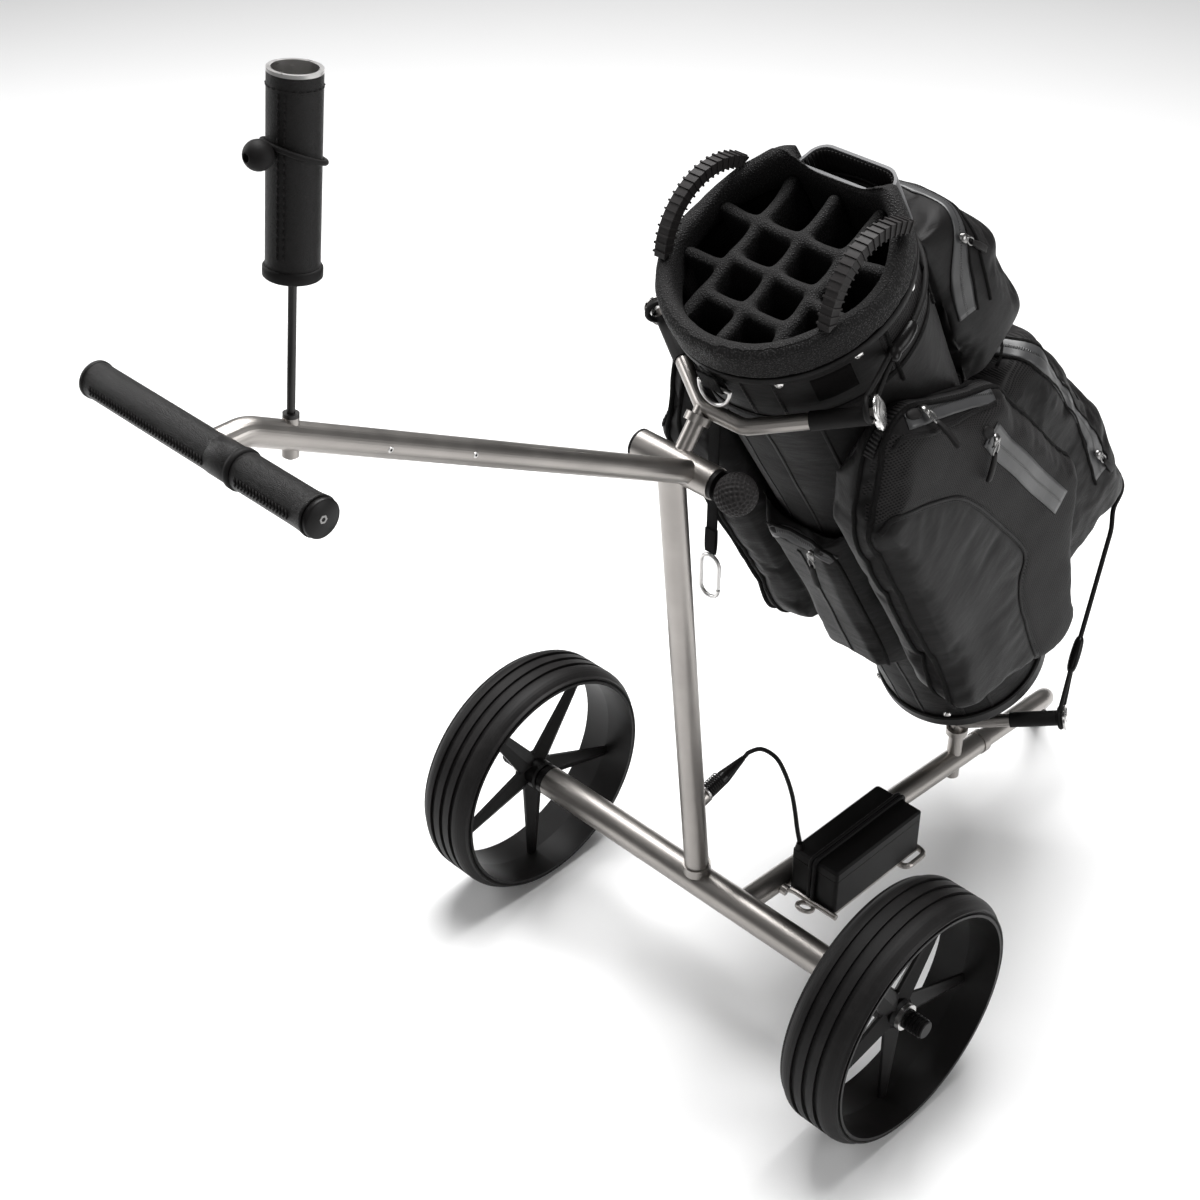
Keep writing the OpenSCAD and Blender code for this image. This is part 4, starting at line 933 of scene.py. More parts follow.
class CART_OT_clamp_knob(Maker, Operator):
    """Dimpled ball of the handle's clamp"""
    bl_idname = "cart.clamp_knob"
    bl_label = "Clamp Knob"

    def execute(self, context):
        low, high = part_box("clamp_knob")
        r = (high.z - low.z) / 2
        middle = Vector((high.x - r, (low.y + high.y) / 2, (low.z + high.z) / 2))
        count = context.scene.cart_sizes.dimples
        tree = KDTree(count)
        for i in range(count):
            z = 1 - (2 * i + 1) / count
            a = i * math.pi * (3 - math.sqrt(5))
            ring = math.sqrt(1 - z * z)
            tree.insert(Vector((z, ring * math.cos(a), ring * math.sin(a))), i)
        tree.balance()
        reach = 0.86 * math.sqrt(4 / count)
        bm = bmesh.new()
        bmesh.ops.create_icosphere(bm, subdivisions=6, radius=1.0)
        for v in bm.verts:
            way = v.co.normalized()
            _, _, far = tree.find(way)
            dip = max(0.0, 1 - (far / reach) ** 2) ** 0.8
            v.co = way * (r * (1 - 0.07 * dip))
            v.co.x = max(v.co.x, low.x + 0.0003 - middle.x)
        piece("golf_ball_knob", bm, "knob", "pale_rubber", ("clamp_knob",),
              Matrix.Translation(middle))
        return {"FINISHED"}


# ---- bag ---------------------------------------------------------------------
def on_trunk(degrees, u, lift=0.0):
    """A point on the trunk's skin, in bag millimetres. 0 degrees is the right, 90 the front."""
    a = math.radians(degrees)
    r = trunk_r(u) + lift
    return (r * math.cos(a), r * math.sin(a), u)


def trunk_face(p):
    """Which of the trunk's three cloths a point wears."""
    a = math.degrees(math.atan2(p.y, p.x))
    if p.z > 712:
        return 1 if -7 < a < 42 or 150 < abs(a) < 187 else 0
    return 2 if -100 < a < -79 or -50 < a < -30 else 0


def studs(tree, angles, u, lift, r):
    """Domed rivet heads round the trunk at one height."""
    heads = []
    for a in angles:
        at, normal, _, _ = tree.find_nearest(BAG @ (Vector(on_trunk(a, u)) * MM), 0.05)
        heads.append(dome(at + normal * lift, normal, r, 0.0016))
    return joined(heads)


class CART_OT_trunk(Maker, Operator):
    """Trunk of the bag with its panels, seams, loop tape and rivets"""
    bl_idname = "cart.trunk"
    bl_label = "Trunk"

    def execute(self, context):
        steps = 150
        rows = np.linspace(TRUNK_FOOT, MOUTH, 110)
        bm = revolved([((trunk_r(u) - 0.8 + 0.5 * math.cos(u / 60)) * MM, u * MM)
                       for u in rows], steps)
        for v in bm.verts:
            p = v.co * 1000
            flat = Vector((p.x, p.y, 0)).normalized()
            low = min(1.0, max(0.0, (700 - p.z) / 60))
            v.co += flat * (wobble(p, 70.0) * 1.4 * low + wobble(p, 24.0, 3) * 0.5) * MM
        for face in bm.faces:
            face.material_index = trunk_face(face.calc_center_median() * 1000)
        shell = piece("bag_shell", bm, "bag", ["cloth", "ribbed", "dull"],
                      ("bag_trunk",), BAG)
        wall = shell.modifiers.new("Wall", "SOLIDIFY")
        wall.thickness, wall.offset = 0.0022, -1.0
        tree = surface(shell)

        hem = [on_trunk(a, 772.0, 1.2) for a in range(0, 360, 6)]
        ring = smooth_route([BAG @ (Vector(p) * MM) for p in hem], 0.008, True)
        axis = (BAG.to_3x3() @ Vector((0, 0, 1))).normalized()
        middle = BAG @ Vector((0, 0, 0.772))
        outs = [(p - middle - axis * (p - middle).dot(axis)).normalized() for p in ring]
        piece("collar_binding", rolled(ring, bar(0.0085, 0.0028, -0.0006), outs, True), "bag",
              "smooth")
        lower = [on_trunk(a, 708.0, 0.0) for a in range(0, 360, 6)]
        piece("band_hem", strip_on(tree, lower, 0.006, 0.0012, closed=True), "bag", "piping")

        seams = [[on_trunk(a, u) for u in range(712, 771, 8)] for a in (-62, -78, -120, 62, 118,
                                                                      -160, -8, 43)]
        seams += [[on_trunk(a, u) for u in range(60, 705, 30)] for a in (-100, -79, -50, -30,
                                                                        -130)]
        piece("trunk_seams", joined([strip_on(tree, s, 0.0036, 0.0007, step=10) for s in seams]),
              "bag", "smooth")
        threads = []
        for s in seams[:8]:
            points, ups = laid(tree, smooth_route(s, 4.0), 0.0008)
            threads.append(stitched(points, ups, 0.0032, 0.0022))
        piece("trunk_stitches", joined(threads), "bag", "thread")
        piece("trunk_piping", joined([rolled(*laid(tree, smooth_route(
            [on_trunk(a, u) for u in range(690, 772, 10)], 5.0), 0.0012)[:1], circle(0.0019, 10))
            for a in (-5, 40)]), "bag", "piping")

        mid = -35.3
        piece("glove_patch", patch_on(tree, [on_trunk(mid, u) for u in (727, 738, 749, 760)],
                                      0.040, 8), "bag", "loop", thick=0.0012)
        piece("band_rivets", studs(tree, (-58.7, -20.5, 21.6, -96, 158, -158, 200, 60, 120),
                                   763.0, 0.0004, 0.0046), "bag", "bright")
        piece("base_rivets", studs(tree, (22, 158, -60, -120), 78.0, 0.005, 0.0042), "bag",
              "bright")
        return {"FINISHED"}


# The collar rises at two corners, and its wall thins by this many millimetres
CORNERS = (Vector((60, 88)), Vector((-60, 88)))
COLLAR_THIN = 5.0


def collar_shape(p, normal):
    """Softens and thins the collar, lifts its corners and dips it at the grips."""
    up = max(0.0, min(1.0, (p.z - 785) / 20))
    flat = Vector((p.x, p.y))
    rise = sum(9.0 * math.exp(-((flat - c).length / 24) ** 2) for c in CORNERS)
    side = math.exp(-((abs(p.x) - 108) / 30) ** 2) * math.exp(-((p.y - 8) / 44) ** 2)
    soft = wobble(p, 30.0, 5) * 1.3
    far = max(1e-6, flat.length)
    thin = flat * (COLLAR_THIN / far) if far < 111 and p.y < 86 else Vector((0, 0))
    return normal * soft + Vector((thin.x, thin.y, (rise - 9.0 * side) * up))


# Where the dividers' walls meet, across the bag
JUNCTIONS = ([Vector((x, y)) for x in (-50, 50) for y in (-60, -17, 27, -28, 81)]
             + [Vector((0, y)) for y in (-60, -17, 27, 81, -92)]
             + [Vector((x, y)) for x in (-92, 92) for y in (-28, 27)])


def divider_shape(p, normal):
    """Sags the dividers' walls between their junctions and swells the junctions."""
    dip = bpy.context.scene.cart_sizes.divider_dip * 1000
    top = max(0.0, min(1.0, (p.z - 770) / 20))
    near = min((Vector((p.x, p.y)) - j).length for j in JUNCTIONS)
    sink = 1 - math.exp(-(near / 15) ** 2)
    swell = math.exp(-(near / 13) ** 2)
    flat = Vector((p.x, p.y))
    far = flat.length
    reach = flat * (COLLAR_THIN * min(1.0, (far - 78) / 16) / far) if far > 78 and p.y < 86 \
        else Vector((0, 0))
    return Vector((reach.x, reach.y, -dip * sink * top + swell * top)) + normal * (
        wobble(p, 22.0, 9) * 0.5 + 0.3 * swell + 0.7)


class CART_OT_collar(Maker, Operator):
    """Padded collar round the bag's mouth"""
    bl_idname = "cart.collar"
    bl_label = "Collar"

    def execute(self, context):
        voxel = context.scene.cart_sizes.pad_voxel
        pad = on_bag("bag_collar", "padded_collar", "collar", voxel, eased=14,
                     shape=collar_shape)
        return {"FINISHED"}


class CART_OT_dividers(Maker, Operator):
    """Padded fourteen-way divider"""
    bl_idname = "cart.dividers"
    bl_label = "Dividers"

    def execute(self, context):
        voxel = context.scene.cart_sizes.pad_voxel
        pad = on_bag("bag_dividers", "club_dividers", "divider", voxel * 0.9,
                     eased=1, shape=divider_shape)
        return {"FINISHED"}


WELL_FOOT, WELL_TOP = 746.0, 800.0
WELL_TEETH = (0.0, 1.6, 2.6, 1.6)
WELL_WAVES = (0.0, 0.8, 1.6, 0.8)


class CART_OT_putter_well(Maker, Operator):
    """Ribbed rubber liner of the putter well"""
    bl_idname = "cart.putter_well"
    bl_label = "Putter Well"

    def execute(self, context):
        walls = [(-52, 95), (-51, 103), (-45.5, 114.5), (-33, 120.5), (0, 120.8), (33, 120.5),
                 (45.5, 114.5), (51, 103), (52, 95)]
        line = smooth_route([(x, y, 0) for x, y in walls], 1.1)
        ways = headings(line)
        bm = bmesh.new()
        n, rows = len(line), 8
        bmesh.ops.create_grid(bm, x_segments=rows, y_segments=n - 1, size=1.0)
        for v in bm.verts:
            i = round((v.co.y + 1) / 2 * (n - 1))
            j = (v.co.x + 1) / 2
            inward = Vector((ways[i].y, -ways[i].x, 0))
            u = WELL_FOOT + (WELL_TOP + WELL_WAVES[i % 4] - WELL_FOOT) * j
            v.co = (line[i] + inward * (0.5 + WELL_TEETH[i % 4]) + Vector((0, 0, u))) * MM
        piece("well_liner", bm, "bag", "rubber", (), BAG, thick=0.0008)
        return {"FINISHED"}


# ---- pockets -----------------------------------------------------------------
# Edges of a side pocket's perforated panel and of its plain top, as (ahead, up the bag)
SIDE_PANEL = [(-136, 590), (-125, 606), (-97, 599), (-66, 575), (-31, 539), (-12, 498),
              (7, 432), (22, 371), (21, 352), (3, 327), (-6, 290), (-11, 218), (-15, 167),
              (-60, 150), (-160, 200), (-160, 560)]
SIDE_TOP = [(-79, 671), (-58, 678), (-35, 655), (-5, 629), (27, 606), (64, 580), (100, 520),
            (200, 560), (150, 760), (-100, 760)]


def side_shape(side):
    """Seam, folds and swell of the right (1) or the left (-1) side pocket."""
    edge = SIDE_PANEL[1:13]

    def shape(p, normal):
        if p.x * side < 84:
            return None
        flat = Vector((p.y, p.z))
        best, along, run = 1e9, 0.0, 0.0
        for a, b in zip(edge, edge[1:]):
            a, b = Vector(a), Vector(b)
            d = b - a
            t = max(0.0, min(1.0, (flat - a).dot(d) / d.length_squared))
            far = (flat - a - d * t).length
            if far < best:
                best, along = far, run + d.length * t
            run += d.length
        within = inside((p.y, p.z), SIDE_PANEL)
        seam = -1.6 * math.exp(-(best / 5.0) ** 2)
        fold = 0.0
        if within:
            rise = 1 - math.exp(-(best / 10.0) ** 2)
            fold = wobble(Vector((along, best / 6.0, side * 9)), 11.0) * 2.8 * rise * math.exp(
                -best / 34.0)
            fold += wobble(Vector((p.y, p.z * 0.3, side * 5)), 30.0, 4) * 1.3
        return normal * (seam + fold + wobble(p, 75.0, side) * 2.4 + wobble(p, 26.0, 7) * 0.4)
    return shape


def side_face(side):
    """Which cloth each face of a side pocket wears."""
    def rule(p, normal):
        if normal.x * side < 0.45 or p.x * side < 118:
            return 2
        if inside((p.y, p.z), SIDE_TOP):
            return 2
        return 1 if inside((p.y, p.z), SIDE_PANEL) else 0
    return rule


def outline(tree, x, middle, reach=420.0, count=120):
    """Where a pocket's edge lies in a plane across the bag, all the way round, in metres."""
    points, ups = [], []
    for i in range(count):
        a = math.tau * i / count
        start = BAG @ (Vector((x, middle[0] + reach * math.cos(a), middle[1]
                               + reach * math.sin(a))) * MM)
        aim = (BAG @ (Vector((x, *middle)) * MM) - start).normalized()
        at, normal, _, _ = tree.ray_cast(start, aim)
        if at is not None:
            points.append(at)
            ups.append(normal)
    return points, ups


class CART_OT_side_pockets(Maker, Operator):
    """Long side pockets with their panels, zips, seams and piping"""
    bl_idname = "cart.side_pockets"
    bl_label = "Side Pockets"

    def execute(self, context):
        sizes = context.scene.cart_sizes
        for side, where in ((1, "right"), (-1, "left")):
            pocket = on_bag("pocket_" + where, f"side_pocket_{where}",
                            ["dots", "smooth", "cloth"], sizes.pocket_voxel,
                            0.004, sizes.puff, 0.008, 3, 1, side_shape(side), side_face(side))
            tree = surface(pocket)

            def at(points, x=146):
                return [(side * x, n, u) for n, u in points]

            rings = []
            for x, r in ((129.0, 1.0), (112.0, 0.85)):
                points, ups = outline(tree, side * x, (0, 410))
                route = smooth_route([p + u * 0.0006 for p, u in zip(points, ups)], 0.006, True)
                rings.append(rolled(route, circle(sizes.piping / 2 * r, 10), closed=True))
            piece(f"side_piping_{where}", joined(rings), "bag", "piping")

            arc = [(118, -86, 664), (120, -60, 690), (120, -30, 692), (120, 10, 668),
                   (120, 60, 618), (120, 96, 560)]
            points, ups = laid(tree, smooth_route([(side * x, n, u) for x, n, u in arc], 5.0))
            piece(f"side_gusset_{where}", rolled(points, bar(0.011, 0.0022), ups), "bag",
                  "gusset")

            seam = at([(-128, 602), (-112, 604), (-97, 599), (-66, 575), (-31, 539), (-12, 498),
                       (7, 432), (21, 375), (20, 350), (4, 327), (-6, 290), (-11, 218),
                       (-14, 175)])
            piece(f"side_seam_{where}", strip_on(tree, seam, 0.0062, 0.0012), "bag", "smooth")
            rows = []
            for shift in (-0.0019, 0.0019):
                points, ups = laid(tree, smooth_route(seam, 4.0), 0.0012)
                ways = headings(points)
                rows.append(stitched([p + w.cross(u).normalized() * shift
                                      for p, u, w in zip(points, ups, ways)], ups,
                                     0.0026, 0.0016, 0.0003))
            under = at([(-76, 672), (-58, 676), (-35, 655), (-5, 629), (27, 606), (60, 584)])
            points, ups = laid(tree, smooth_route(under, 4.0), 0.0011)
            rows.append(stitched(points, ups, 0.0026, 0.0016, 0.0003))
            piece(f"side_stitches_{where}", joined(rows), "bag", "thread")
            piece(f"side_top_seam_{where}", strip_on(tree, under, 0.0045, 0.0011), "bag",
                  "smooth")

            zip_set(f"side_top_zip_{where}", tree,
                    [(side * x, n, u) for x, n, u in
                     ((138, -39, 684), (140, -23, 673), (139, 0, 654), (138, 25, 632),
                      (138, 49, 609), (139, 66, 588))],
                    24, (side * 140, -20, 670), (0.0, -0.62, -1.0))
            zip_set(f"side_zip_{where}", tree,
                    at([(33, 566), (41, 528), (53, 487), (64, 444), (77, 400), (87, 364)]),
                    27, (side * 146, 32, 560), (0.0, -0.62, -1.0))
            garages = []
            for (x, n, u), way in (((139, -27, 677), (0, -0.6, 0.75)),
                                   ((146, 31, 571), (0, -0.3, 0.95))):
                spot, normal, _, _ = tree.find_nearest(BAG @ (Vector((side * x, n, u)) * MM),
                                                       0.05)
                lie = (BAG.to_3x3() @ Vector(way)).normalized()
                lie = (lie - normal * lie.dot(normal)).normalized()
                line = [spot - lie * 0.008, spot - lie * 0.002, spot + lie * 0.006,
                        spot + lie * 0.011]
                garages.append(rolled(line, circle(0.0062, 14, 0.62), [normal] * 4,
                                      scale=[0.9, 1.0, 0.95, 0.4]))
            piece(f"side_garages_{where}", joined(garages), "bag", "rubber",
                  levels=1)
        return {"FINISHED"}


def cord_on(tree, path, r, step=6.0):
    """Round piping along a path on a surface, the path in bag millimetres."""
    points, ups = laid(tree, smooth_route(path, step))
    return rolled(points, circle(r, 10), ups)


def front_shape(p, normal):
    """Folds, creases and the sagging foot of the front pocket."""
    sag = 9.0 * max(0.0, 1 - abs(p.z - 180) / 110) if p.y > 120 else 0.0
    fold = wobble(Vector((p.x, p.y, p.z * 0.5)), 26.0, 2) * 2.2
    crease = wobble(Vector((p.x * 0.6 + p.z * 0.5, p.y, p.z)), 13.0, 6) * 1.2
    return normal * (fold + crease + sag + wobble(p, 80.0, 11) * 2.0)


def front_face(p, normal):
    """The front pocket's pierced top and its plain cloth."""
    return 1 if p.z > 432 and normal.z > 0.15 else 0


def ball_shape(p, normal):
    """Hanging side folds of the upper front pocket."""
    fold = wobble(Vector((p.x * 0.5, p.y, p.z * 0.35 + p.y * 0.4)), 24.0, 8) * 2.6
    return normal * (fold + wobble(p, 70.0, 12) * 2.2)


class CART_OT_front_pocket(Maker, Operator):
    """Deep front pocket with its arched zip and mesh top"""
    bl_idname = "cart.front_pocket"
    bl_label = "Front Pocket"

    def execute(self, context):
        sizes = context.scene.cart_sizes
        pocket = on_bag("pocket_front", "front_pocket", ["cloth", "dots"], sizes.pocket_voxel,
                        0.004, sizes.puff, 0.009, 3, 1, front_shape, front_face)
        tree = surface(pocket)
        arch = [(-78, 207, 205), (-78, 216, 280), (-75, 214, 364), (-66, 192, 440),
                (-34, 176, 472), (0, 172, 478), (34, 176, 472), (66, 192, 440), (75, 214, 364),
                (78, 216, 280), (78, 207, 205)]
        zip_set("front_zip", tree, arch, 26, (78, 212, 240), (0.0, 0.25, -1.0))
        edges = []
        for grow in (-15, 16):
            route = [(x, n + grow * 0.9, u + (6 if abs(x) < 40 else 0) + grow * 0.2)
                     for x, n, u in arch]
            edges.append(cord_on(tree, route, 0.0021))
        piece("front_piping", joined(edges), "bag", "piping")
        ring = [(46 * math.cos(a), 150 + 46 * math.sin(a), 462) for a in
                np.linspace(0.1, math.pi - 0.1, 14)]
        piece("front_mesh_edge", cord_on(tree, ring, 0.0019, 5.0), "bag", "piping")
        belts = []
        for u in (128, 300):
            route = [(x, 262, u) for x in (-74, -50, -20, 20, 50, 74)]
            belts.append(strip_on(tree, route, 0.009, 0.001, step=6))
        piece("front_seams", joined(belts), "bag", "smooth")
        return {"FINISHED"}


class CART_OT_ball_pocket(Maker, Operator):
    """Upper front pocket with its arched zip and hanging side folds"""
    bl_idname = "cart.ball_pocket"
    bl_label = "Ball Pocket"

    def execute(self, context):
        sizes = context.scene.cart_sizes
        pocket = on_bag("pocket_ball", "ball_pocket", ["smooth"], sizes.pocket_voxel,
                        0.004, sizes.puff, 0.009, 3, 1, ball_shape)
        tree = surface(pocket)
        arch = [(-68, 122, 600), (-68, 132, 655), (-66, 152, 690), (-48, 166, 708),
                (0, 172, 714), (48, 166, 708), (66, 152, 690), (68, 132, 655), (68, 122, 600)]
        zip_set("ball_zip", tree, arch, 24, (66, 148, 688), (0.0, 0.5, -1.0))
        edges = []
        for shift in (13, 30):
            route = [(x, n + shift, u - shift * 0.3) for x, n, u in arch]
            edges.append(cord_on(tree, route, 0.0020))
        piece("ball_piping", joined(edges), "bag", "piping")
        return {"FINISHED"}


def rear_shape(p, normal):
    """Gentle swell of the back panel."""
    return normal * (wobble(p, 60.0, 14) * 1.6)


class CART_OT_rear_panel(Maker, Operator):
    """Padded back panel with its zip, seam and piping"""
    bl_idname = "cart.rear_panel"
    bl_label = "Back Panel"

    def execute(self, context):
        sizes = context.scene.cart_sizes
        panel = on_bag("pocket_rear", "back_panel", ["cloth"], 0.0042, 0.003,
                       sizes.puff, 0.005, 3, 1, rear_shape)
        tree = surface(panel)
        arch = [(-40, -120, 470), (-26, -124, 486), (0, -126, 490), (26, -124, 486),
                (40, -120, 470)]
        zip_set("back_zip", tree, arch, 15, (26, -124, 484), (0.0, -0.62, -1.0))
        edge = [(-44, -122, 250), (-46, -122, 360), (-44, -122, 470), (-24, -124, 494),
                (24, -124, 494), (44, -122, 470), (46, -122, 360), (44, -122, 250),
                (24, -122, 236), (-24, -122, 236)]
        points, _ = laid(tree, smooth_route(edge, 6.0, True))
        piece("back_piping", rolled(points, circle(0.0020, 10), closed=True), "bag", "piping")
        seam = [(0, -124, 250), (0, -126, 320), (0, -126, 400), (0, -126, 470)]
        piece("back_seam", strip_on(tree, seam, 0.005, 0.001), "bag", "smooth")
        return {"FINISHED"}


# ---- straps and cords ----------------------------------------------------------
# Middle lines of the two cords round the bag, in bag millimetres, from right to left
UPPER_CORD = [(126, -60.5, 735), (122, -24, 736.5), (117.5, 14, 738.5), (112, 38.5, 739),
              (102.5, 59.5, 739), (76, 91, 739), (40.5, 111.5, 739), (0, 118.5, 739),
              (-40.5, 111.5, 739), (-76, 91, 739), (-102.5, 59.5, 739), (-112.5, 38.5, 739),
              (-119, 0, 738.5), (-118, -30, 737), (-118, -60.5, 735)]
LOWER_CORD = [(125.5, 9.5, 6), (110, 85, 38.5), (94, 159, 71), (81, 220, 98), (78, 235, 103.5),
              (69, 257.5, 104), (44, 268, 104), (0, 268, 104), (-44, 268, 104),
              (-69, 257.5, 104), (-78, 235, 103.5), (-81, 219, 97), (-91.5, 158.5, 70.5),
              (-105, 84, 38), (-117.5, 9.5, 6)]
# Direction of the bows' right arms, places of their tips across the bag, and the cap there
ARM = Vector((105.5, 67.0, 0.0)).normalized()
ARM_MID, ARM_REACH = 4, 131
CAP_THICK = 0.0055
DISC_FACE = [(0.0, 0.0009), (0.0088, 0.0009), (0.0094, 0.0004), (0.0101, 0.0009),
             (0.0112, 0.0008), (0.0122, 0.0), (0.0122, -0.0012)]
CORD_R = 2.9


def bow_end(side, n, u):
    """Direction of a bow's arm and its tip, in metres: side is 1 on the right, -1 on the left."""
    arm = (BAG.to_3x3() @ Vector((ARM.x * side, ARM.y, 0))).normalized()
    return arm, BAG @ (Vector((ARM_MID + ARM_REACH * side, n, u)) * MM)


def rested(route, trees):
    """Lifts a cord that lies round the bag out to the finished cloth, or down on to it."""
    moved = []
    for p in route:
        best = None
        for tree in trees:
            at, normal, _, far = tree.find_nearest(p, 0.02)
            if at is not None and (best is None or far < best[1]):
                best = ((p - at).dot(normal), far, at, normal)
        if best is None:
            moved.append(Vector((0, 0, 0)))
            continue
        high, _, _, normal = best
        lack = (CORD_R + 0.2) * MM - high
        moved.append(normal * (lack if lack > 0 else max(lack, -0.006)))
    for _ in range(3):
        moved = [moved[0]] + [(a + b * 2 + c) / 4 for a, b, c in zip(moved, moved[1:], moved[2:])
                              ] + [moved[-1]]
    return [p + m for p, m in zip(route, moved)]


class CART_OT_bungees(Maker, Operator):
    """Elastic cords round the bag with their eyes and rubber sleeves"""
    bl_idname = "cart.bungees"
    bl_label = "Bungees"

    def execute(self, context):
        for name, cord, tip_n, u, lies_on in (
                ("upper", UPPER_CORD, -69.0, 735.0, ("bag_shell", "ball_pocket")),
                ("lower", LOWER_CORD, 0.0, 0.0, ("front_pocket", "bag_shell"))):
            line = smooth_route([BAG @ (Vector(q) * MM) for q in cord], 0.005)
            trees = [surface(bpy.data.objects[each]) for each in lies_on]
            line = line[:10] + rested(line[10:-10], trees) + line[-10:]
            shapes = [rolled(line[9:-9], circle(CORD_R * MM, 12))]
            sleeves, discs = [], []
            for side, part in ((1, line), (-1, line[::-1])):
                arm, tip = bow_end(side, tip_n, u)
                discs.append(revolved(DISC_FACE, 64, aimed(tip + arm * CAP_THICK, arm)))
                neck = tip - arm * 0.0029
                shapes.append(revolved([(0.0112 + 0.0029 * math.cos(a), 0.0029 * math.sin(a))
                                        for a in np.linspace(0, math.tau, 13)], 40,
                                       aimed(neck, arm)))
                toward = part[9] - neck
                toward = (toward - arm * toward.dot(arm)).normalized()
                high = arm.cross(toward)
                for m in (-1, 1):
                    off = (high * m * 0.93 + toward * 0.37) * 0.0112
                    strand = smooth_route([neck + off, neck.lerp(part[10], 0.45) + off * 0.62,
                                           part[10] + off * 0.2], 0.004)
                    shapes.append(rolled(strand, circle(0.0026, 10)))
                grip = part[8:18]
                grow = [0.62] + [0.9 + 0.28 * math.sin(math.pi * i / 9) for i in range(1, 9)]
                sleeves.append(rolled(grip, circle(0.0068, 16, 0.78), scale=grow + [0.6]))
            piece(name + "_bow_discs", joined(discs), "bag", "bright")
            piece(name + "_bungee", joined(shapes), "bag", "cord",
                  (name + "_strap",))
            piece(name + "_cord_sleeves", joined(sleeves), "bag", "gloss",
                  levels=1)
        return {"FINISHED"}


class CART_OT_webbing(Maker, Operator):
    """Webbing of the D-ring and the carabiner"""
    bl_idname = "cart.webbing"
    bl_label = "Webbing"

    def execute(self, context):
        ring_low, ring_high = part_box("d_ring")
        hook_low, hook_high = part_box("carabiner")
        shapes = []
        # the tab that hangs plumb down to the carabiner
        x = (hook_low.x + hook_high.x) / 2
        y = (hook_low.y + hook_high.y) / 2
        foot = hook_high.z + 0.0004
        strap = smooth_route([(x, y, foot + 0.1725), (x, y - 0.0008, foot + 0.12),
                              (x, y + 0.0005, foot + 0.06), (x, y, foot + 0.0012)], 0.006)
        shapes.append(rolled(strap, bar(0.014, 0.002, -0.001), [Vector((0, 1, 0))] * len(strap)))
        loop = [(x, y - 0.0016, foot + 0.030), (x, y - 0.0019, foot + 0.012),
                (x, y - 0.0004, foot + 0.0008), (x, y + 0.0017, foot + 0.012),
                (x, y + 0.0015, foot + 0.030)]
        route = smooth_route(loop, 0.002)
        ways = headings(route)
        shapes.append(rolled(route, bar(0.0142, 0.0012, -0.0006),
                             [w.cross(Vector((1, 0, 0))) for w in ways]))
        # the fold round the straight side of the D-ring
        axis = Vector((ring_low.x + ring_high.x, 0, 0)) / 2
        bar_y = (ring_low.y + ring_high.y) / 2
        bar_z = ring_high.z - 0.0022
        up = (BAG.to_3x3() @ Vector((0, 0, 1))).normalized()
        out = (BAG.to_3x3() @ Vector((0, -1, 0))).normalized()
        centre = Vector((axis.x, bar_y, bar_z))
        fold = [centre + up * 0.022 - out * 0.0025]
        fold += [centre + (out * math.cos(a) + up * math.sin(a)) * 0.0034
                 for a in np.linspace(-math.pi, 0.0, 9)]
        fold.append(centre + up * 0.022 + out * 0.0028)
        route = smooth_route(fold, 0.0018)
        ways = headings(route)
        shapes.append(rolled(route, bar(0.024, 0.0016, -0.0008),
                             [w.cross(Vector((1, 0, 0))) for w in ways]))
        piece("ring_and_hook_webbing", joined(shapes), "bag", "webbing",
              ("bag_webbing",))
        return {"FINISHED"}


# ---- leather and small parts -----------------------------------------------------
def laced(middle, r, x0, x1, pitch=0.0036, turn=178.0, half=15.0):
    """Cross-lacing along a roll of leather: slanted stitches that meet on its seam."""
    def at(x, degrees, lift):
        a = math.radians(degrees)
        return Vector((x, middle.y + (r + lift) * math.cos(a), middle.z + (r + lift) * math.sin(a)))

    shapes = []
    x = x0
    while x < x1:
        for m in (-1, 1):
            line = [at(x, turn + m * half, -0.0002),
                    at(x + pitch * 0.35, turn + m * half * 0.5, 0.0006),
                    at(x + pitch * 0.7, turn, 0.0002)]
            shapes.append(rolled(line, circle(0.00075, 6)))
        x += pitch
    return joined(shapes)


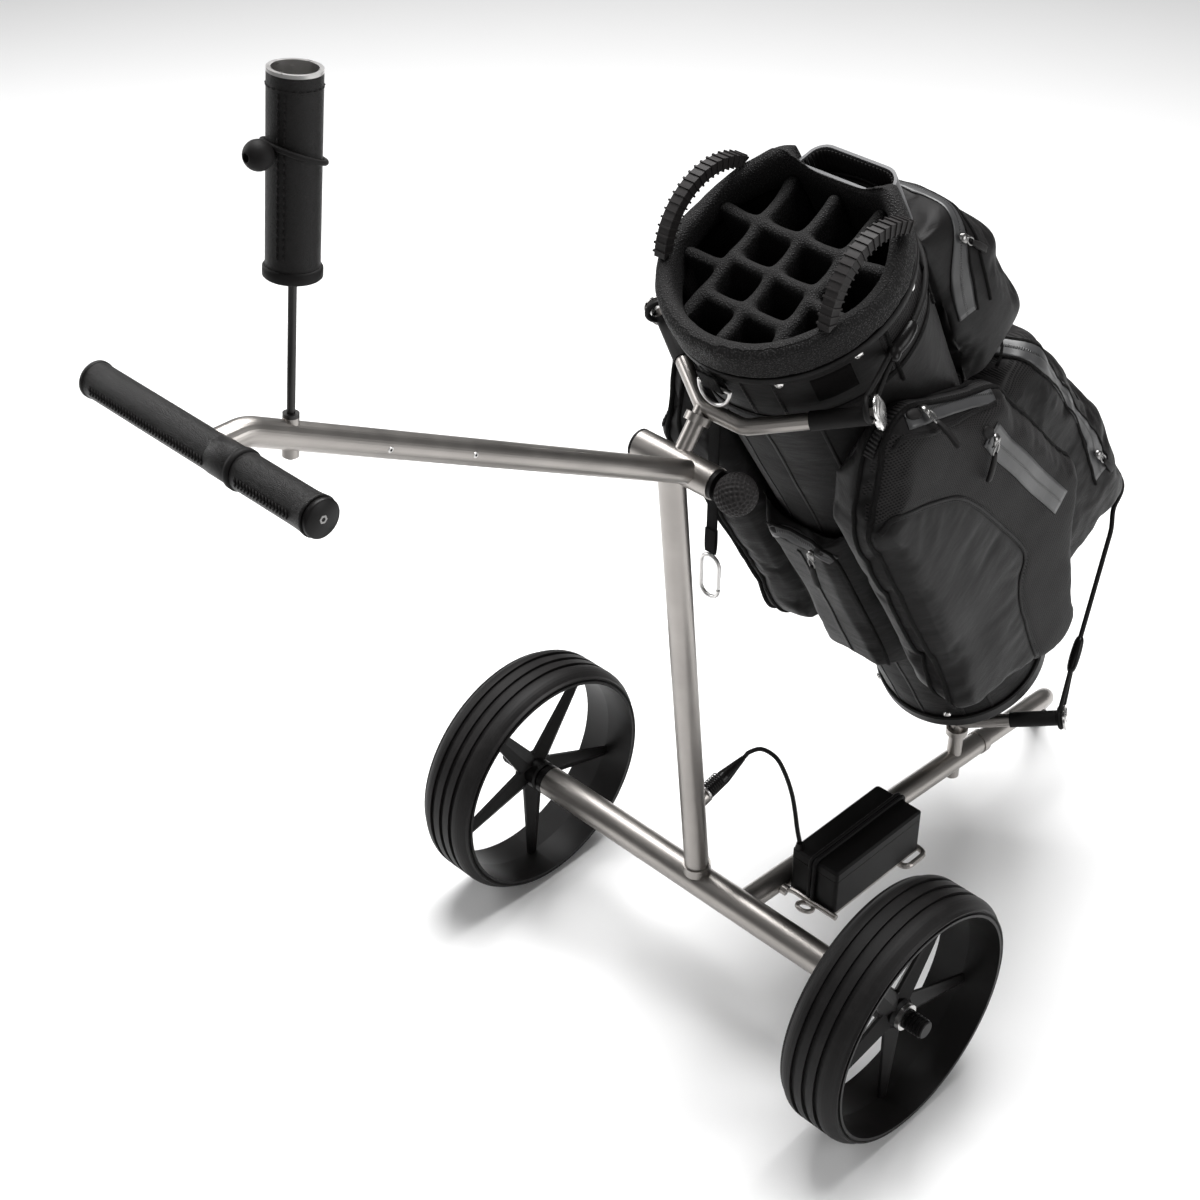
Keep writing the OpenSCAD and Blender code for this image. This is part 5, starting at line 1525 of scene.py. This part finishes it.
class CART_OT_leather(Maker, Operator):
    """Leather roll, bindings and lacing of the grip and the throttle, and the cup's seams"""
    bl_idname = "cart.leather"
    bl_label = "Leather Seams"

    def execute(self, context):
        low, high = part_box("grip_cover")
        ends, far_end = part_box("grip_caps")
        turn_low, turn_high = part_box("throttle")
        middle = (low + high) / 2
        r = (high.z - low.z) / 2
        along = aimed((0.0, middle.y, middle.z), (1, 0, 0))

        def band(x0, x1, out, ease=0.0008):
            return revolved([(r - 0.0004, x0), (r + out - ease, x0), (r + out, x0 + ease),
                             (r + out, x1 - ease), (r + out - ease, x1), (r - 0.0004, x1)],
                            64, along)

        piece("grip_bindings", joined([band(ends.x + 0.0002, ends.x + 0.0042, 0.0008),
                                       band(high.x - 0.026, high.x - 0.002, 0.0005, 0.0004)]),
              "handle", "leather")
        piece("grip_collar", joined([band(high.x - 0.0022, high.x + 0.0038, 0.0019, 0.0012)]),
              "handle", "rubber")
        x0, x1 = turn_low.x + 0.0004, turn_high.x - 0.0003
        cover = [(r - 0.0002, x0), (r + 0.0005, x0 + 0.0004)]
        cover += [(r + 0.0005 + 0.0012 * max(0.0, (t - 0.8) / 0.2) ** 2, x0 + (x1 - x0) * t)
                  for t in np.linspace(0.05, 1.0, 30)]
        cover += [(r - 0.0002, x1)]
        piece("throttle_cover", revolved(cover, 64, along), "throttle", "leather")
        disc = [(0.0, far_end.x + 0.0013), (r - 0.0004, far_end.x + 0.0013),
                (r + 0.0006, far_end.x + 0.0004), (r + 0.0006, far_end.x - 0.0030),
                (r, far_end.x - 0.0037), (0.002, far_end.x - 0.0037)]
        piece("grip_end_disc", revolved(disc, 64, along), "handle", "plastic")
        at = Vector((far_end.x + 0.0012, middle.y, middle.z))
        socket = revolved([(0.0018, -0.0004), (0.0018, 0.0004), (0.0034, 0.0004),
                           (0.0036, -0.0004)], 6, aimed(at, (1, 0, 0)))
        piece("grip_end_screw", socket, "handle", "gunmetal", smooth=False)
        piece("grip_lacing", laced(middle, r, ends.x + 0.013, high.x - 0.028), "handle",
              "thread")
        piece("throttle_lacing", laced(middle, r + 0.0005, x0 + 0.006, x1 - 0.014), "throttle",
              "thread")

        tree = BVHTree.FromObject(NODES["handle_tube"], bpy.context.evaluated_depsgraph_get())
        heads, socket_shades = [], []
        for spot in ((0.0359, -0.4622, 0.9121), (0.0359, -0.3753, 0.8687)):
            at, normal, _, _ = tree.find_nearest(Vector(spot), 0.02)
            heads.append(dome(at, normal, 0.0027, 0.0006))
            # painted shade: a thin black dome on each screw head stands in for the shade in its
            # socket
            socket_shades.append(dome(at + normal * 0.0006, normal, 0.0013, 0.0002, 6))
        piece("handle_screws", joined(heads), "handle", "steel")
        piece("handle_screw_recesses", joined(socket_shades), "handle", "plastic")

        way = Vector((0, 0.9703, 0.2419))
        foot = Vector((-0.0055, -0.0295, 0.2686))
        ring = [(0.0088, -0.0032), (0.0097, -0.0030), (0.0101, -0.0024), (0.0101, -0.0010),
                (0.0097, -0.0004), (0.0088, -0.0002)]
        piece("socket_ring", revolved(ring, 48, aimed(foot, way)), "mast", "steel")
        ribs = [revolved([(0.0078, t - 0.0009), (0.0086, t), (0.0078, t + 0.0009)], 40,
                         aimed(foot, way)) for t in np.arange(0.003, 0.024, 0.003)]
        piece("plug_ribs", joined(ribs), "plug", "gloss")

        low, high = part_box("holder_sleeve")
        lean = HOLDER_UP
        centre = Vector((HOLDER_X, (low.y + high.y) / 2, (low.z + high.z) / 2))
        tree = BVHTree.FromObject(NODES["holder_sleeve"],
                                  bpy.context.evaluated_depsgraph_get())
        r = (high.x - low.x) / 2
        half = (high.z - low.z) / 2 / lean.z - r * HOLDER_SLOPE / lean.z
        rows = []
        face = (Vector((1, 0, 0)) * 0.42 + -HOLDER_AHEAD * 0.90).normalized()
        across = lean.cross(face).normalized()
        for shift in (-0.0026, 0.0026):
            line, ups = [], []
            for t in np.arange(-half + 0.012, half - 0.010, 0.004):
                spot, normal, _, _ = tree.find_nearest(centre + lean * t + face * (r + 0.001)
                                                       + across * shift, 0.02)
                line.append(spot + normal * 0.0002)
                ups.append(normal)
            rows.append(stitched(line, ups, 0.0042, 0.0018, 0.0007))
        side = lean.orthogonal().normalized()
        line, ups = [], []
        for i in range(61):
            out = Matrix.Rotation(math.tau * i / 60, 3, lean) @ side
            spot, normal, _, _ = tree.find_nearest(
                centre + lean * (half - 0.009) + out * (r + 0.001), 0.02)
            line.append(spot + normal * 0.0002)
            ups.append(normal)
        rows.append(stitched(line, ups, 0.0036, 0.0018, 0.0004))
        piece("cup_stitches", joined(rows), "holder", "thread")
        band = [(0.0045, -0.0011), (r + 0.0010, -0.0011), (r + 0.0019, -0.0002),
                (r + 0.0019, 0.0060), (r + 0.0010, 0.0074), (r - 0.0003, 0.0078)]
        piece("cup_foot_band", revolved(band, 64, aimed(centre - lean * (half + 0.0030), lean)),
              "holder", "rubber")
        return {"FINISHED"}


class CART_OT_cup_cord(Maker, Operator):
    """Elastic ring round the cup and the ball that it is drawn through"""
    bl_idname = "cart.cup_cord"
    bl_label = "Cup Cord"

    def execute(self, context):
        low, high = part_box("holder_sleeve")
        middle, wall = (low + high) / 2, (high.x - low.x) / 2
        side = Vector((1, 0, 0))
        cord_r, ball_r = 0.002, 0.011

        def around(turn, out, up):
            a = math.radians(turn)
            return middle + (side * math.cos(a) + HOLDER_AHEAD * math.sin(a)) * (wall + out) \
                + HOLDER_UP * up

        ring = [around(turn, cord_r + 0.0002,
                       0.0155 + 0.0085 * math.cos(math.radians(turn + 95)))
                for turn in range(0, 360, 5)]
        piece("cup_cord", rolled(ring, circle(cord_r, 14), closed=True), "holder", "rubber",
              ("holder_cord",))
        hole, depth = 0.0032, 0.007
        start = math.asin(hole / ball_r)
        arc = [(ball_r * math.sin(a), ball_r * math.cos(a))
               for a in np.linspace(start, math.pi, 28)]
        arc[-1] = (0.0, -ball_r)
        profile = [(0.0, ball_r - depth), (hole, ball_r - depth + 0.0008),
                   (hole, arc[0][1] - 0.0008)] + arc
        piece("cup_ball", revolved(profile, 48, aimed(around(-90, ball_r, 0.0183),
                                                      -HOLDER_AHEAD)),
              "holder", "rubber")
        return {"FINISHED"}


# ---- panel and start ---------------------------------------------------------------
OPERATORS = (CART_OT_stage, CART_OT_battery_cable, CART_OT_cart_finishes, CART_OT_clamp_knob,
             CART_OT_leather, CART_OT_cup_cord, CART_OT_trunk, CART_OT_collar, CART_OT_dividers,
             CART_OT_putter_well, CART_OT_side_pockets, CART_OT_front_pocket,
             CART_OT_ball_pocket, CART_OT_rear_panel, CART_OT_bungees, CART_OT_webbing)


class CART_PT_panel(Panel):
    """Settings and makers of the golf cart's pieces"""
    bl_idname = "CART_PT_panel"
    bl_label = "Golf Cart"
    bl_space_type = "VIEW_3D"
    bl_region_type = "UI"
    bl_category = "Golf Cart"

    def draw(self, context):
        for group in (context.scene.cart_colours, context.scene.cart_sizes):
            box = self.layout.box()
            for key in group.__annotations__:
                box.prop(group, key)
        for operator in OPERATORS:
            self.layout.operator(operator.bl_idname)


CLASSES = (CartColours, CartSizes) + OPERATORS + (CART_PT_panel,)


def register():
    for each in CLASSES:
        bpy.utils.register_class(each)
    bpy.types.Scene.cart_colours = PointerProperty(type=CartColours)
    bpy.types.Scene.cart_sizes = PointerProperty(type=CartSizes)


def unregister():
    del bpy.types.Scene.cart_colours
    del bpy.types.Scene.cart_sizes
    for each in reversed(CLASSES):
        bpy.utils.unregister_class(each)


def main():
    register()
    for operator in OPERATORS:
        group, name = operator.bl_idname.split(".")
        getattr(getattr(bpy.ops, group), name)()


if __name__ == "__main__":
    main()
